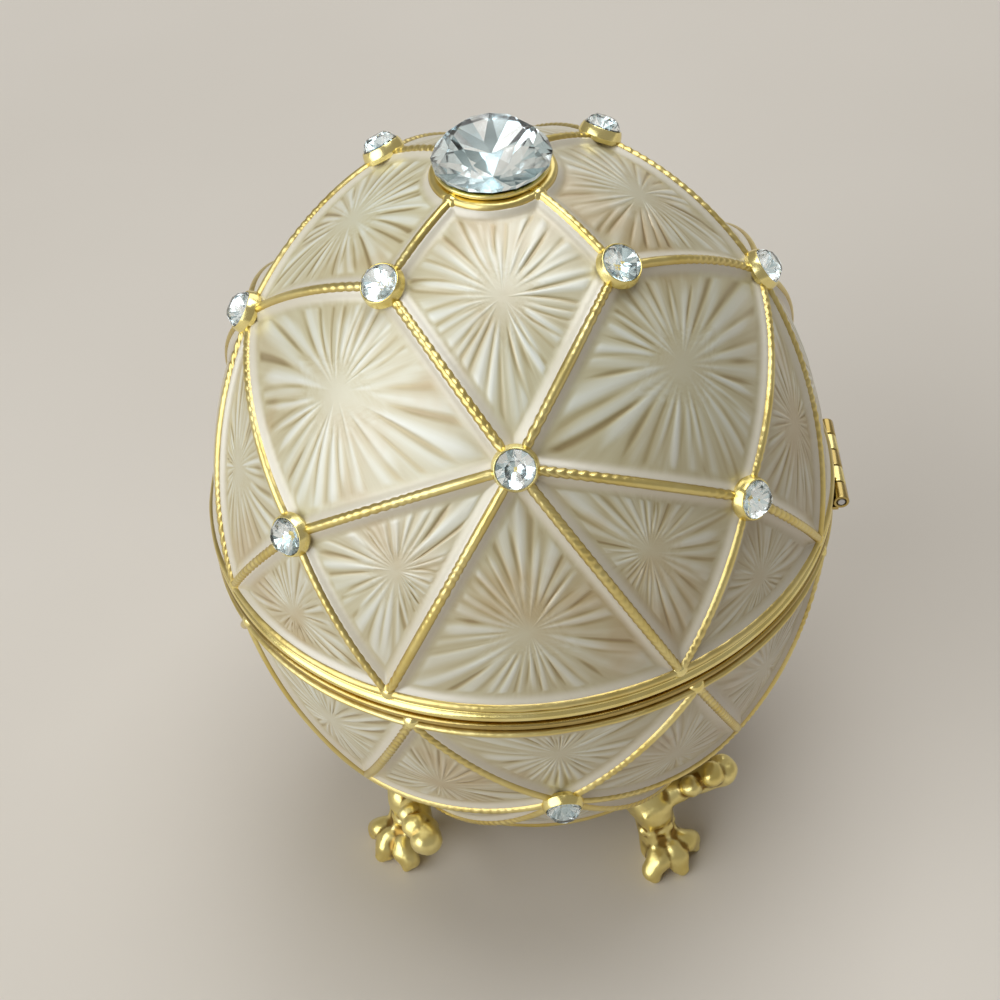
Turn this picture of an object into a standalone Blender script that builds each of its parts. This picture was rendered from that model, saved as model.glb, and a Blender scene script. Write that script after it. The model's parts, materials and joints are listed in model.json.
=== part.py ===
"""Egg trinket box: two enamelled shells on a rim hinge, gold trellis, stones and four scroll feet.

Lengths are in millimetres and become metres when a mesh is made. The origin is on the table,
on the egg's axis. +Z is up, the front faces -Y and the hinge is on +X. Azimuths are in degrees
from the front, positive towards the hinge.
"""
import math

import bmesh
import bpy
from mathutils import Matrix, Vector

MM = 0.001
MERGE = 1e-4
SOFT_ANGLE = 40.0
BAND_ANGLE = 50.0
RIB_ANGLE = 60.0
FACET_ANGLE = 1.0

# Egg form
EGG_RADIUS = 27.0
LID_RISE = 33.6
BASE_DROP = 36.0
LID_POWER = 1.1
BASE_POWER = 1.05
WALL = 1.6
TABLE_CLEARANCE = 2.5
RIM_HEIGHT = TABLE_CLEARANCE + BASE_DROP
SEGMENTS = 40
SHELL_ROWS = 7

# Fits
SEAT_GAP = 0.15
SEAM_GAP = 0.3
LIP_CLEARANCE = 0.25

# Rim bands
RIM_SECTION = 1.65
LID_BAND_HEIGHT = 1.05
BASE_BAND_HEIGHT = 0.85
SEAM_BEAD_HEIGHT = 0.5
SEAM_BEAD_RELIEF = 0.7
SHELL_BEAD_RELIEF = 0.5
GROOVE_RELIEF = 0.35
EDGE_RELIEF = 0.25
LIP_THICKNESS = 0.5
LIP_RISE = 1.1

# Hinge
HINGE_LENGTH = 10.2
KNUCKLES = 5
KNUCKLE_SIDES = 12
KNUCKLE_RADIUS = 0.7
KNUCKLE_GAP = 0.15
HINGE_OVERHANG = 0.95
HINGE_CLEARANCE = 0.2
PIN_RADIUS = 0.35
PIN_CLEARANCE = 0.08
WEB_BITE = 0.35

# Closing magnets
MAGNET_RADIUS = 0.6
MAGNET_THICKNESS = 0.45
MAGNET_CLEARANCE = 0.1
MAGNET_SIDES = 16

# Trellis
RIB_HEIGHT = 0.75
RIB_HALF_WIDTH = 0.62
RIM_RIB_WIDTH = 0.3
RIB_SEGMENT = 4.8
HOOP_TURN = 15.0
RIM_NODE_SPREAD = 25.2
LID_HIGH_RING = 29.4
LID_MID_RING = 21.2
LID_LOW_RING = 13.2
LID_TRELLIS_TURN = 1.6
BASE_MID_RING = 13.5
BASE_LOW_RING = 17.6
HOOP_MARGIN = 2.6
BASE_TRELLIS_TURN = 5.0

# Small stones and their cups
STONE_RADIUS = 1.5
STONE_TABLE_RADIUS = 0.85
STONE_CROWN = 0.75
STONE_GIRDLE = 0.2
STONE_PAVILION = 0.6
STONE_SIDES = 8
CUP_WALL = 0.2
CUP_BASE = 0.3
CUP_FLOOR = 0.2
CUP_SIDES = 10

# Crown stone and collet
CROWN_RADIUS = 4.7
CROWN_TABLE_RADIUS = 2.75
CROWN_HEIGHT = 1.9
CROWN_GIRDLE = 0.3
CROWN_PAVILION = 2.2
CROWN_GIRDLE_LIFT = 1.0
CROWN_SIDES = 16
COLLET_SIDES = 20
COLLET_WALL = 0.4
COLLET_SETBACK = 0.15
COLLET_HOLE_CLEARANCE = 0.25
COLLET_HOLE_RADIUS = 3.0
COLLET_FOOT = 1.0
COLLET_FLARE = 0.6

# Feet
FOOT_COUNT = 4
FOOT_TURN = 38.6
FOOT_SIDES = 8
LOBE_ROWS = 5
PAW_REACH = 18.4
PAW_HALF_WIDTH = 2.7
PAW_DEPTH = 1.95
TOE_RADIUS = 1.3
TOE_LENGTH = 1.6
TOE_REACH = 1.7
TOE_COUNT = 3
TOE_FAN = 62.0
ANKLE_REACH = 17.0
ANKLE_HEIGHT = 4.3
ANKLE_RADIUS = 1.9
KNEE_REACH = 16.4
KNEE_HEIGHT = 6.9
KNEE_RADIUS = 2.3
PAD_REACH = 12.4
PAD_RADIUS = 2.4
SCROLL_REACH = 19.4
SCROLL_SIDE = 6.3
SCROLL_HEIGHT = 8.9
SCROLL_RADIUS = 1.7
ARM_RADIUS = 1.6
ARM_TIP_RADIUS = 1.1
BALL_RADIUS = 1.05


class Half:
    """One half of the egg, a turned surface with r = R cos(u)^power and z = rise sin(u)."""

    def __init__(self, rise, power, sign):
        self.rise = rise
        self.power = power
        self.sign = sign

    def meridian(self, u, lift=0.0):
        """Radius and height above the table at polar angle u, moved along the normal by lift."""
        cosine = max(math.cos(u), 1e-6)
        slope_r = self.rise * cosine
        slope_z = EGG_RADIUS * self.power * cosine ** (self.power - 1.0) * math.sin(u)
        length = math.hypot(slope_r, slope_z)
        radius = EGG_RADIUS * cosine ** self.power + lift * slope_r / length
        rise = self.rise * math.sin(u) + lift * slope_z / length
        return radius, RIM_HEIGHT + self.sign * rise

    def point(self, u, azimuth, lift=0.0):
        """A point on the surface, or lift above it."""
        radius, height = self.meridian(u, lift)
        turn = math.radians(azimuth)
        return Vector((radius * math.sin(turn), -radius * math.cos(turn), height))

    def normal(self, u, azimuth):
        """Outward unit normal of the surface."""
        return (self.point(u, azimuth, 1.0) - self.point(u, azimuth)).normalized()

    def angles(self, point):
        """Polar angle and azimuth of the surface point nearest to a point close to it."""
        radius = math.hypot(point.x, point.y)
        rise = self.sign * (point.z - RIM_HEIGHT) / self.rise
        u = math.atan2(rise, (radius / EGG_RADIUS) ** (1.0 / self.power))
        return u, math.degrees(math.atan2(point.x, -point.y))

    def angle_at_rise(self, rise):
        """Polar angle at a distance from the parting plane."""
        return math.asin(rise / self.rise)

    def angle_at_radius(self, radius):
        """Polar angle where the surface has this radius."""
        return math.acos((radius / EGG_RADIUS) ** (1.0 / self.power))

    def angle_where(self, lift, measure, target):
        """Polar angle at which a measure of the lifted meridian falls or rises to a target."""
        low = 0.0
        high = math.pi / 2
        rising = measure(self.meridian(high, lift)) > measure(self.meridian(low, lift))
        for _ in range(50):
            middle = (low + high) / 2
            if (measure(self.meridian(middle, lift)) < target) == rising:
                low = middle
            else:
                high = middle
        return low


LID = Half(LID_RISE, LID_POWER, 1)
BASE = Half(BASE_DROP, BASE_POWER, -1)
BAND_INNER = EGG_RADIUS - RIM_SECTION
BAND_OUTER = EGG_RADIUS + SEAM_BEAD_RELIEF
LID_EDGE = SEAM_GAP / 2 + LID_BAND_HEIGHT + SEAT_GAP
BASE_EDGE = SEAM_GAP / 2 + BASE_BAND_HEIGHT + SEAT_GAP
HINGE_X = BAND_OUTER + HINGE_OVERHANG - KNUCKLE_RADIUS
KNUCKLE_LENGTH = (HINGE_LENGTH - (KNUCKLES - 1) * KNUCKLE_GAP) / KNUCKLES
BORE_RADIUS = PIN_RADIUS + PIN_CLEARANCE
NOTCH_RADIUS = KNUCKLE_RADIUS + HINGE_CLEARANCE
COLLET_RADIUS = CROWN_RADIUS - COLLET_SETBACK
STEM_RADIUS = COLLET_HOLE_RADIUS - COLLET_HOLE_CLEARANCE
COLLET_FOOT_RADIUS = STEM_RADIUS + COLLET_FOOT
NECK_RADIUS = COLLET_FOOT_RADIUS + SEAT_GAP + RIB_HALF_WIDTH
HOOP_RADIUS = PAD_REACH + PAD_RADIUS + HOOP_MARGIN
CUP_DEPTH = CUP_BASE + CUP_FLOOR


def clear_scene():
    """Remove what the scene holds."""
    for item in list(bpy.data.objects):
        bpy.data.objects.remove(item)


def look(name, colour, roughness, metallic):
    """A Principled material."""
    material = bpy.data.materials.new(name)
    material.use_nodes = True
    shader = material.node_tree.nodes["Principled BSDF"]
    shader.inputs["Base Color"].default_value = (*colour, 1.0)
    shader.inputs["Roughness"].default_value = roughness
    shader.inputs["Metallic"].default_value = metallic
    return material


def finish(bm, name, material, sharp_angle=SOFT_ANGLE):
    """Turn a bmesh in millimetres into an object in metres."""
    bmesh.ops.remove_doubles(bm, verts=bm.verts, dist=MERGE)
    bmesh.ops.recalc_face_normals(bm, faces=bm.faces)
    bmesh.ops.scale(bm, vec=Vector((MM, MM, MM)), verts=bm.verts)
    mesh = bpy.data.meshes.new(name)
    bm.to_mesh(mesh)
    bm.free()
    mesh.materials.append(material)
    piece = bpy.data.objects.new(name, mesh)
    bpy.context.scene.collection.objects.link(piece)
    shade(piece, sharp_angle)
    return piece


def shade(piece, sharp_angle):
    """Smooth shading with sharp edges above an angle."""
    piece.data.shade_smooth()
    piece.data.set_sharp_from_angle(angle=math.radians(sharp_angle))


def combine(piece, other, operation, sharp_angle=SOFT_ANGLE):
    """Join or cut one object with another, which is used up."""
    modifier = piece.modifiers.new(operation.lower(), 'BOOLEAN')
    modifier.operation = operation
    modifier.solver = 'EXACT'
    modifier.object = other
    graph = bpy.context.evaluated_depsgraph_get()
    graph.update()
    mesh = bpy.data.meshes.new_from_object(piece.evaluated_get(graph))
    piece.modifiers.clear()
    piece.data = mesh
    bpy.data.objects.remove(other)
    shade(piece, sharp_angle)


def spin_outline(bm, outline, segments, place=Matrix()):
    """Turn a closed outline of (radius, height) about Z and place the result."""
    verts = [bm.verts.new((radius, 0.0, height)) for radius, height in outline]
    edges = [bm.edges.new((verts[i - 1], verts[i])) for i in range(len(verts))]
    axis_edges = [edge for edge in edges if all(abs(vert.co.x) < 1e-6 for vert in edge.verts)]
    turned_edges = [edge for edge in edges if edge not in axis_edges]
    known = set(bm.verts) - set(verts)
    bmesh.ops.spin(bm, geom=verts + turned_edges, cent=(0, 0, 0), axis=(0, 0, 1),
                   angle=math.tau, steps=segments, use_merge=True)
    bmesh.ops.delete(bm, geom=axis_edges, context='EDGES')
    made = [vert for vert in bm.verts if vert not in known]
    bmesh.ops.remove_doubles(bm, verts=made, dist=MERGE)
    made = [vert for vert in bm.verts if vert not in known]
    bmesh.ops.transform(bm, matrix=place, verts=made)


def turned(name, outline, material, segments=SEGMENTS, place=Matrix(), sharp_angle=SOFT_ANGLE):
    """A turned piece."""
    bm = bmesh.new()
    spin_outline(bm, outline, segments, place)
    return finish(bm, name, material, sharp_angle)


def steps_between(start, end, count):
    """Evenly spaced values including both ends."""
    return [start + (end - start) * i / count for i in range(count + 1)]


def shell_outline(half, edge, hole_radius):
    """Outline of a hollow half, from its flat edge to its pole or to a round hole there."""
    level = RIM_HEIGHT + half.sign * edge
    outer_start = half.angle_at_rise(edge)
    inner_start = half.angle_where(-WALL, lambda spot: half.sign * spot[1], half.sign * level)
    outer_end = math.pi / 2
    inner_end = math.pi / 2
    if hole_radius:
        outer_end = half.angle_at_radius(hole_radius)
        inner_end = half.angle_where(-WALL, lambda spot: spot[0], hole_radius)
    outer = [half.meridian(u) for u in steps_between(outer_start, outer_end, SHELL_ROWS)]
    inner = [half.meridian(u, -WALL) for u in steps_between(inner_end, inner_start, SHELL_ROWS)]
    if not hole_radius:
        outer[-1] = (0.0, outer[-1][1])
        inner[0] = (0.0, inner[0][1])
    return outer + inner


def band_outline(half, height):
    """Outline of a rim band: flat seam face, a bead at the seam, a groove, a bead at the shell seat."""
    seam = SEAM_GAP / 2
    beads = [(EDGE_RELIEF, 0.0), (SEAM_BEAD_RELIEF, SEAM_BEAD_HEIGHT / 3),
             (SEAM_BEAD_RELIEF, SEAM_BEAD_HEIGHT * 2 / 3), (GROOVE_RELIEF, SEAM_BEAD_HEIGHT),
             (SHELL_BEAD_RELIEF, (SEAM_BEAD_HEIGHT + height) / 2), (EDGE_RELIEF, height)]
    profile = [(BAND_INNER, seam)]
    profile += [(EGG_RADIUS + relief, seam + rise) for relief, rise in beads]
    profile.append((BAND_INNER, seam + height))
    return [(radius, RIM_HEIGHT + half.sign * rise) for radius, rise in profile]


def base_band_outline():
    """The base band with its locating lip, which stands up inside the lid band."""
    profile = band_outline(BASE, BASE_BAND_HEIGHT)
    lip_outer = BAND_INNER - LIP_CLEARANCE
    lip_inner = lip_outer - LIP_THICKNESS
    foot = RIM_HEIGHT - SEAM_GAP / 2 - BASE_BAND_HEIGHT
    lip = [(lip_inner, foot), (lip_inner, RIM_HEIGHT + LIP_RISE), (lip_outer, RIM_HEIGHT + LIP_RISE),
           (lip_outer, RIM_HEIGHT - SEAM_GAP / 2)]
    return profile[1:-1] + lip


def along_hinge(y):
    """Placement that lays a turned piece along the hinge axis, centred at y."""
    return Matrix.Translation((HINGE_X, y, RIM_HEIGHT)) @ Matrix.Rotation(math.pi / 2, 4, 'X')


def rod_outline(radius, length, bore=0.0):
    """Outline of a rod or tube centred on its own middle."""
    half_length = length / 2
    return [(bore, -half_length), (radius, -half_length), (radius, half_length), (bore, half_length)]


def knuckles(name, half, height, material, first):
    """Every second knuckle from the first, each with the web that ties it to its band."""
    bm = bmesh.new()
    pitch = KNUCKLE_LENGTH + KNUCKLE_GAP
    for i in range(first, KNUCKLES, 2):
        y = (i - (KNUCKLES - 1) / 2) * pitch
        spin_outline(bm, rod_outline(KNUCKLE_RADIUS, KNUCKLE_LENGTH, BORE_RADIUS), KNUCKLE_SIDES,
                     along_hinge(y))
    piece = finish(bm, name, material)
    bm = bmesh.new()
    low = BORE_RADIUS + PIN_CLEARANCE
    high = SEAM_GAP / 2 + height - SEAT_GAP
    inner = HINGE_X - NOTCH_RADIUS - WEB_BITE
    outer = HINGE_X - BORE_RADIUS / 2
    for i in range(first, KNUCKLES, 2):
        y = (i - (KNUCKLES - 1) / 2) * pitch
        centre = ((inner + outer) / 2, y, RIM_HEIGHT + half.sign * (low + high) / 2)
        size = Matrix.Diagonal((outer - inner, KNUCKLE_LENGTH, high - low, 1.0))
        bmesh.ops.create_cube(bm, size=1.0, matrix=Matrix.Translation(centre) @ size)
    combine(piece, finish(bm, "web", material), 'UNION')
    return piece


def rim_band(name, half, height, outline, material, first_knuckle):
    """A rim band with its hinge notch, its knuckles and the pocket for its magnet."""
    band = turned(name, outline, material, sharp_angle=BAND_ANGLE)
    notch = rod_outline(NOTCH_RADIUS, HINGE_LENGTH + 2 * HINGE_CLEARANCE)
    combine(band, turned("notch", notch, material, KNUCKLE_SIDES, along_hinge(0.0)), 'DIFFERENCE')
    depth = 2 * (MAGNET_THICKNESS + MAGNET_CLEARANCE)
    pocket = rod_outline(MAGNET_RADIUS + MAGNET_CLEARANCE, depth)
    seam = RIM_HEIGHT + half.sign * SEAM_GAP / 2
    place = Matrix.Translation((-magnet_reach(), 0.0, seam))
    combine(band, turned("pocket", pocket, material, MAGNET_SIDES, place), 'DIFFERENCE')
    combine(band, knuckles("knuckles", half, height, material, first_knuckle), 'UNION', BAND_ANGLE)
    return band


def magnet_reach():
    """Distance of the magnets from the egg's axis, midway across the seam face."""
    return (BAND_INNER + EGG_RADIUS) / 2


def magnet(name, half, material):
    """A disc magnet, flush with the seam face of its band."""
    centre = RIM_HEIGHT + half.sign * (SEAM_GAP / 2 + MAGNET_THICKNESS / 2)
    place = Matrix.Translation((-magnet_reach(), 0.0, centre))
    return turned(name, rod_outline(MAGNET_RADIUS, MAGNET_THICKNESS), material, MAGNET_SIDES, place)


class Trellis:
    """Ribs on one half: nodes by name, cells as closed walks over nodes."""

    def __init__(self, half, turn):
        self.half = half
        self.turn = turn
        self.nodes = {}
        self.hoops = set()
        self.cells = []
        self.cups = []

    def ring(self, name, u, azimuths, cups=False, hoop=False):
        """A ring of nodes at one polar angle. The nodes of a hoop are joined by level arcs."""
        for i, azimuth in enumerate(azimuths):
            self.nodes[name, i] = (u, azimuth + self.turn)
            if cups:
                self.cups.append((name, i))
        if hoop:
            self.hoops.add(name)

    def direction(self, key):
        """Unit vector of a node on the sphere of polar angles."""
        u, azimuth = self.nodes[key]
        turn = math.radians(azimuth)
        return Vector((math.cos(u) * math.sin(turn), -math.cos(u) * math.cos(turn), math.sin(u)))

    def edge(self, start, end):
        """Polar angles and azimuths along a rib, without its last point."""
        if start > end:
            return [self.edge_angles(end, start)[-1 - i] for i in range(self.edge_steps(start, end))]
        return self.edge_angles(start, end)[:-1]

    def edge_steps(self, start, end):
        """Number of straight pieces in a rib."""
        span = self.half.point(*self.nodes[start]) - self.half.point(*self.nodes[end])
        steps = math.ceil(span.length / RIB_SEGMENT)
        return max(2, steps, math.ceil(abs(self.hoop_sweep(start, end)) / HOOP_TURN))

    def hoop_sweep(self, start, end):
        """Angle from one node of a hoop to the next, or nothing for other ribs."""
        if start[0] not in self.hoops or end[0] not in self.hoops:
            return 0.0
        return (self.nodes[end][1] - self.nodes[start][1] + 180.0) % 360.0 - 180.0

    def edge_angles(self, start, end):
        """Polar angles and azimuths along a rib, both ends included."""
        count = self.edge_steps(start, end)
        shares = [i / count for i in range(count + 1)]
        sweep = self.hoop_sweep(start, end)
        if sweep:
            u, azimuth = self.nodes[start]
            return [(u, azimuth + sweep * share) for share in shares]
        first = self.direction(start)
        last = self.direction(end)
        spots = [first.slerp(last, share) for share in shares]
        return [(math.asin(spot.z), math.degrees(math.atan2(spot.x, -spot.y))) for spot in spots]

    def loop(self, keys):
        """Closed walk of surface angles round a cell."""
        walk = []
        for i, key in enumerate(keys):
            walk += self.edge(key, keys[(i + 1) % len(keys)])
        return walk

    def add_cell(self, bm, keys, width=RIB_HALF_WIDTH, outward=False):
        """One side of each rib round a cell, from its crest to its foot and back underneath."""
        half = self.half
        walk = self.loop(keys)
        spots = [half.point(u, azimuth) for u, azimuth in walk]
        centre = sum(spots, Vector()) / len(spots)
        feet = []
        count = len(walk)
        for i, (u, azimuth) in enumerate(walk):
            normal = half.normal(u, azimuth)
            before = normal.cross(spots[i] - spots[i - 1]).normalized()
            after = normal.cross(spots[(i + 1) % count] - spots[i]).normalized()
            inward = (before + after) / (1.0 + before.dot(after))
            feet.append(inward)
        facing = sum(inward.dot(centre - spot) for inward, spot in zip(feet, spots))
        side = math.copysign(width, facing) * (-1.0 if outward else 1.0)
        rows = []
        for share, lift in ((0.0, RIB_HEIGHT), (1.0, SEAT_GAP), (0.0, SEAT_GAP)):
            row = []
            for spot, inward in zip(spots, feet):
                u, azimuth = half.angles(spot + inward * side * share)
                row.append(bm.verts.new(half.point(u, azimuth, lift)))
            rows.append(row)
        for upper, lower in zip(rows, rows[1:]):
            for i in range(count):
                bm.faces.new((upper[i - 1], upper[i], lower[i], lower[i - 1]))

    def at_cups(self, name, outline, material):
        """A turned outline repeated on every crossing that carries a cup."""
        bm = bmesh.new()
        for key in self.cups:
            spin_outline(bm, outline, CUP_SIDES, cup_place(self.half, *self.nodes[key]))
        return finish(bm, name, material)

    def add_cups(self, piece, material):
        """Stone cups on the crossings, hollowed through the ribs they stand on."""
        inner = STONE_RADIUS + SEAT_GAP
        outer = inner + CUP_WALL
        seat = CUP_DEPTH + STONE_PAVILION
        top = seat + STONE_GIRDLE
        above = top + SEAT_GAP
        body = [(0.0, CUP_BASE), (outer, CUP_BASE), (outer, top), (0.0, top)]
        hollow = [(0.0, CUP_DEPTH), (inner, seat), (inner, above), (0.0, above)]
        combine(piece, self.at_cups("cups", body, material), 'UNION', RIB_ANGLE)
        combine(piece, self.at_cups("hollows", hollow, material), 'DIFFERENCE', RIB_ANGLE)

    def build(self, name, material, outward_keys):
        """The trellis as one piece."""
        bm = bmesh.new()
        for keys in self.cells:
            self.add_cell(bm, keys)
        self.add_cell(bm, outward_keys, RIM_RIB_WIDTH, outward=True)
        piece = finish(bm, name, material, RIB_ANGLE)
        self.add_cups(piece, material)
        return piece


def cup_place(half, u, azimuth):
    """Placement on the egg's surface with local Z along its normal."""
    normal = half.normal(u, azimuth)
    turn = normal.to_track_quat('Z', 'Y').to_matrix().to_4x4()
    return Matrix.Translation(half.point(u, azimuth)) @ turn


def quarter(offset, *spread):
    """Azimuths of a ring: the offset and each spread, repeated every quarter turn."""
    return [90.0 * k + offset + step for k in range(4) for step in (spread or (0.0,))]


def lid_trellis():
    """Trellis of the lid, open round the crown collet."""
    trellis = Trellis(LID, LID_TRELLIS_TURN)
    rim = LID.angle_at_rise(LID_EDGE + RIM_RIB_WIDTH)
    trellis.ring("neck", LID.angle_at_radius(NECK_RADIUS), quarter(45.0), hoop=True)
    trellis.ring("high", LID.angle_at_rise(LID_HIGH_RING), quarter(45.0), cups=True)
    trellis.ring("mid", LID.angle_at_rise(LID_MID_RING), quarter(0.0), cups=True)
    trellis.ring("low", LID.angle_at_rise(LID_LOW_RING), quarter(45.0), cups=True)
    trellis.ring("rim", rim, quarter(0.0, -RIM_NODE_SPREAD, RIM_NODE_SPREAD), hoop=True)
    for k in range(4):
        before = (k - 1) % 4
        after = (k + 1) % 4
        trellis.cells.append([("neck", before), ("neck", k), ("high", k), ("mid", k), ("high", before)])
        trellis.cells.append([("high", k), ("mid", after), ("low", k), ("mid", k)])
    add_rim_cells(trellis)
    trellis.cells.append([("neck", k) for k in range(4)])
    return trellis


def base_trellis():
    """Trellis of the base, open round the feet."""
    trellis = Trellis(BASE, BASE_TRELLIS_TURN)
    rim = BASE.angle_at_rise(BASE_EDGE + RIM_RIB_WIDTH)
    trellis.ring("hoop", BASE.angle_at_radius(HOOP_RADIUS), quarter(45.0), hoop=True)
    trellis.ring("mid", BASE.angle_at_rise(BASE_MID_RING), quarter(0.0), cups=True)
    trellis.ring("low", BASE.angle_at_rise(BASE_LOW_RING), quarter(45.0))
    trellis.ring("rim", rim, quarter(0.0, -RIM_NODE_SPREAD, RIM_NODE_SPREAD), hoop=True)
    for k in range(4):
        before = (k - 1) % 4
        after = (k + 1) % 4
        trellis.cells.append([("hoop", before), ("hoop", k), ("mid", k)])
        trellis.cells.append([("hoop", k), ("mid", after), ("low", k), ("mid", k)])
    add_rim_cells(trellis)
    trellis.cells.append([("hoop", k) for k in range(4)])
    return trellis


def add_rim_cells(trellis):
    """Three-sided cells between the middle ring, the low ring and the rim."""
    for k in range(4):
        after = (k + 1) % 4
        left = ("rim", 2 * k)
        right = ("rim", 2 * k + 1)
        next_left = ("rim", 2 * after)
        trellis.cells.append([("mid", k), ("low", k), right])
        trellis.cells.append([("mid", after), next_left, ("low", k)])
        trellis.cells.append([("mid", k), left, right])
        trellis.cells.append([("low", k), right, next_left])


RIM_WALK = [("rim", i) for i in range(8)]


def brilliant(name, radius, table, crown, girdle, pavilion, sides, place, material):
    """A cut stone: flat table, upright girdle and pointed pavilion, with local Z along its axis."""
    bm = bmesh.new()
    turn = math.tau / sides

    def row(size, height, shift):
        angles = [turn * (i + shift) for i in range(sides)]
        return [bm.verts.new((size * math.cos(a), size * math.sin(a), height)) for a in angles]

    top = row(table, girdle + crown, 0.5)
    upper = row(radius, girdle, 0.0)
    lower = row(radius, 0.0, 0.0)
    culet = bm.verts.new((0.0, 0.0, -pavilion))
    bm.faces.new(top)
    for i in range(sides):
        after = (i + 1) % sides
        bm.faces.new((upper[i], upper[after], top[i]))
        bm.faces.new((upper[after], top[after], top[i]))
        bm.faces.new((lower[i], lower[after], upper[after], upper[i]))
        bm.faces.new((culet, lower[after], lower[i]))
    bmesh.ops.transform(bm, matrix=place, verts=bm.verts)
    return finish(bm, name, material, FACET_ANGLE)


def small_stones(prefix, trellis, material):
    """One stone in each cup of a trellis."""
    lift = CUP_DEPTH + STONE_PAVILION + SEAT_GAP
    for i, key in enumerate(trellis.cups):
        place = cup_place(trellis.half, *trellis.nodes[key]) @ Matrix.Translation((0.0, 0.0, lift))
        brilliant(f"{prefix}_{i + 1:02d}", STONE_RADIUS, STONE_TABLE_RADIUS, STONE_CROWN, STONE_GIRDLE,
                  STONE_PAVILION, STONE_SIDES, place, material)


def crown_girdle_height():
    """Height of the underside of the crown stone's girdle."""
    return RIM_HEIGHT + LID_RISE + CROWN_GIRDLE_LIFT


def crown_collet(material):
    """Turned cup: stem in the lid's hole, foot on the lid, wall that ends under the stone's girdle."""
    floor = crown_girdle_height() - CROWN_PAVILION - SEAT_GAP
    inner = COLLET_RADIUS - COLLET_WALL
    lip = floor + CROWN_PAVILION * inner / CROWN_RADIUS
    foot_ends = [LID.angle_where(SEAT_GAP, lambda spot: spot[0], reach)
                 for reach in (STEM_RADIUS, COLLET_FOOT_RADIUS)]
    foot = [LID.meridian(u, SEAT_GAP) for u in foot_ends]
    outline = [(0.0, floor - COLLET_WALL), (STEM_RADIUS, floor - COLLET_WALL)]
    outline += foot
    outline += [(COLLET_RADIUS, foot[1][1] + COLLET_FLARE), (COLLET_RADIUS, lip), (inner, lip)]
    outline.append((0.0, floor))
    return turned("crown_collet", outline, material, COLLET_SIDES)


def crown_stone(material):
    """The large stone on top."""
    place = Matrix.Translation((0.0, 0.0, crown_girdle_height()))
    return brilliant("crown_stone", CROWN_RADIUS, CROWN_TABLE_RADIUS, CROWN_HEIGHT, CROWN_GIRDLE,
                     CROWN_PAVILION, CROWN_SIDES, place, material)


def limb(name, stations, material):
    """A closed lofted limb through (centre, half width across, half thickness) stations."""
    bm = bmesh.new()
    rings = []
    for i, (centre, across, thick) in enumerate(stations):
        after = stations[min(i + 1, len(stations) - 1)][0]
        before = stations[max(i - 1, 0)][0]
        along = (after - before).normalized()
        rise = along.cross(Vector((0.0, 1.0, 0.0))).normalized()
        side = rise.cross(along)
        ring = []
        for k in range(FOOT_SIDES):
            angle = math.tau * k / FOOT_SIDES
            spot = centre + side * across * math.cos(angle) + rise * thick * math.sin(angle)
            ring.append(bm.verts.new(spot))
        rings.append(ring)
    for lower, upper in zip(rings, rings[1:]):
        for k in range(FOOT_SIDES):
            bm.faces.new((lower[k - 1], lower[k], upper[k], upper[k - 1]))
    bm.faces.new(rings[0])
    bm.faces.new(rings[-1])
    return finish(bm, name, material)


def lobe(name, centre, radii, material):
    """An ellipsoid."""
    bm = bmesh.new()
    place = Matrix.Translation(centre) @ Matrix.Diagonal((*radii, 1.0))
    bmesh.ops.create_uvsphere(bm, u_segments=FOOT_SIDES, v_segments=LOBE_ROWS, radius=1.0, matrix=place)
    return finish(bm, name, material)


def foot_form(material):
    """One foot with its radial direction along +X: leg, paw with toes, side scroll with a ball."""
    pad_reach, pad_height = BASE.meridian(BASE.angle_at_radius(PAD_REACH), -PAD_RADIUS)
    knee = Vector((KNEE_REACH, 0.0, KNEE_HEIGHT))
    paw = Vector((PAW_REACH, 0.0, TOE_RADIUS))
    leg = [(Vector((pad_reach, 0.0, pad_height)), PAD_RADIUS, PAD_RADIUS),
           (knee, KNEE_RADIUS, KNEE_RADIUS),
           (Vector((ANKLE_REACH, 0.0, ANKLE_HEIGHT)), ANKLE_RADIUS, ANKLE_RADIUS),
           (paw, PAW_HALF_WIDTH, ANKLE_RADIUS)]
    foot = limb("foot_1", leg, material)
    combine(foot, lobe("paw", paw, (PAW_HALF_WIDTH, PAW_HALF_WIDTH, PAW_DEPTH), material), 'UNION')
    for i in range(TOE_COUNT):
        turn = math.radians(TOE_FAN) * (i - (TOE_COUNT - 1) / 2)
        tip = paw + Vector((TOE_REACH * math.cos(turn), PAW_HALF_WIDTH * math.sin(turn), 0.0))
        combine(foot, lobe("toe", tip, (TOE_LENGTH, TOE_RADIUS, TOE_RADIUS), material), 'UNION')
    scroll = Vector((SCROLL_REACH, SCROLL_SIDE, SCROLL_HEIGHT))
    middle = knee.lerp(scroll, 0.5)
    arm = [(knee, ARM_RADIUS, ARM_RADIUS), (scroll, ARM_TIP_RADIUS, ARM_TIP_RADIUS)]
    combine(foot, limb("arm", arm, material), 'UNION')
    combine(foot, lobe("scroll", scroll, (SCROLL_RADIUS, SCROLL_RADIUS, SCROLL_RADIUS), material), 'UNION')
    ball = middle + Vector((BALL_RADIUS, 0.0, BALL_RADIUS))
    combine(foot, lobe("ball", ball, (BALL_RADIUS, BALL_RADIUS, BALL_RADIUS), material), 'UNION')
    return foot


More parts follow.
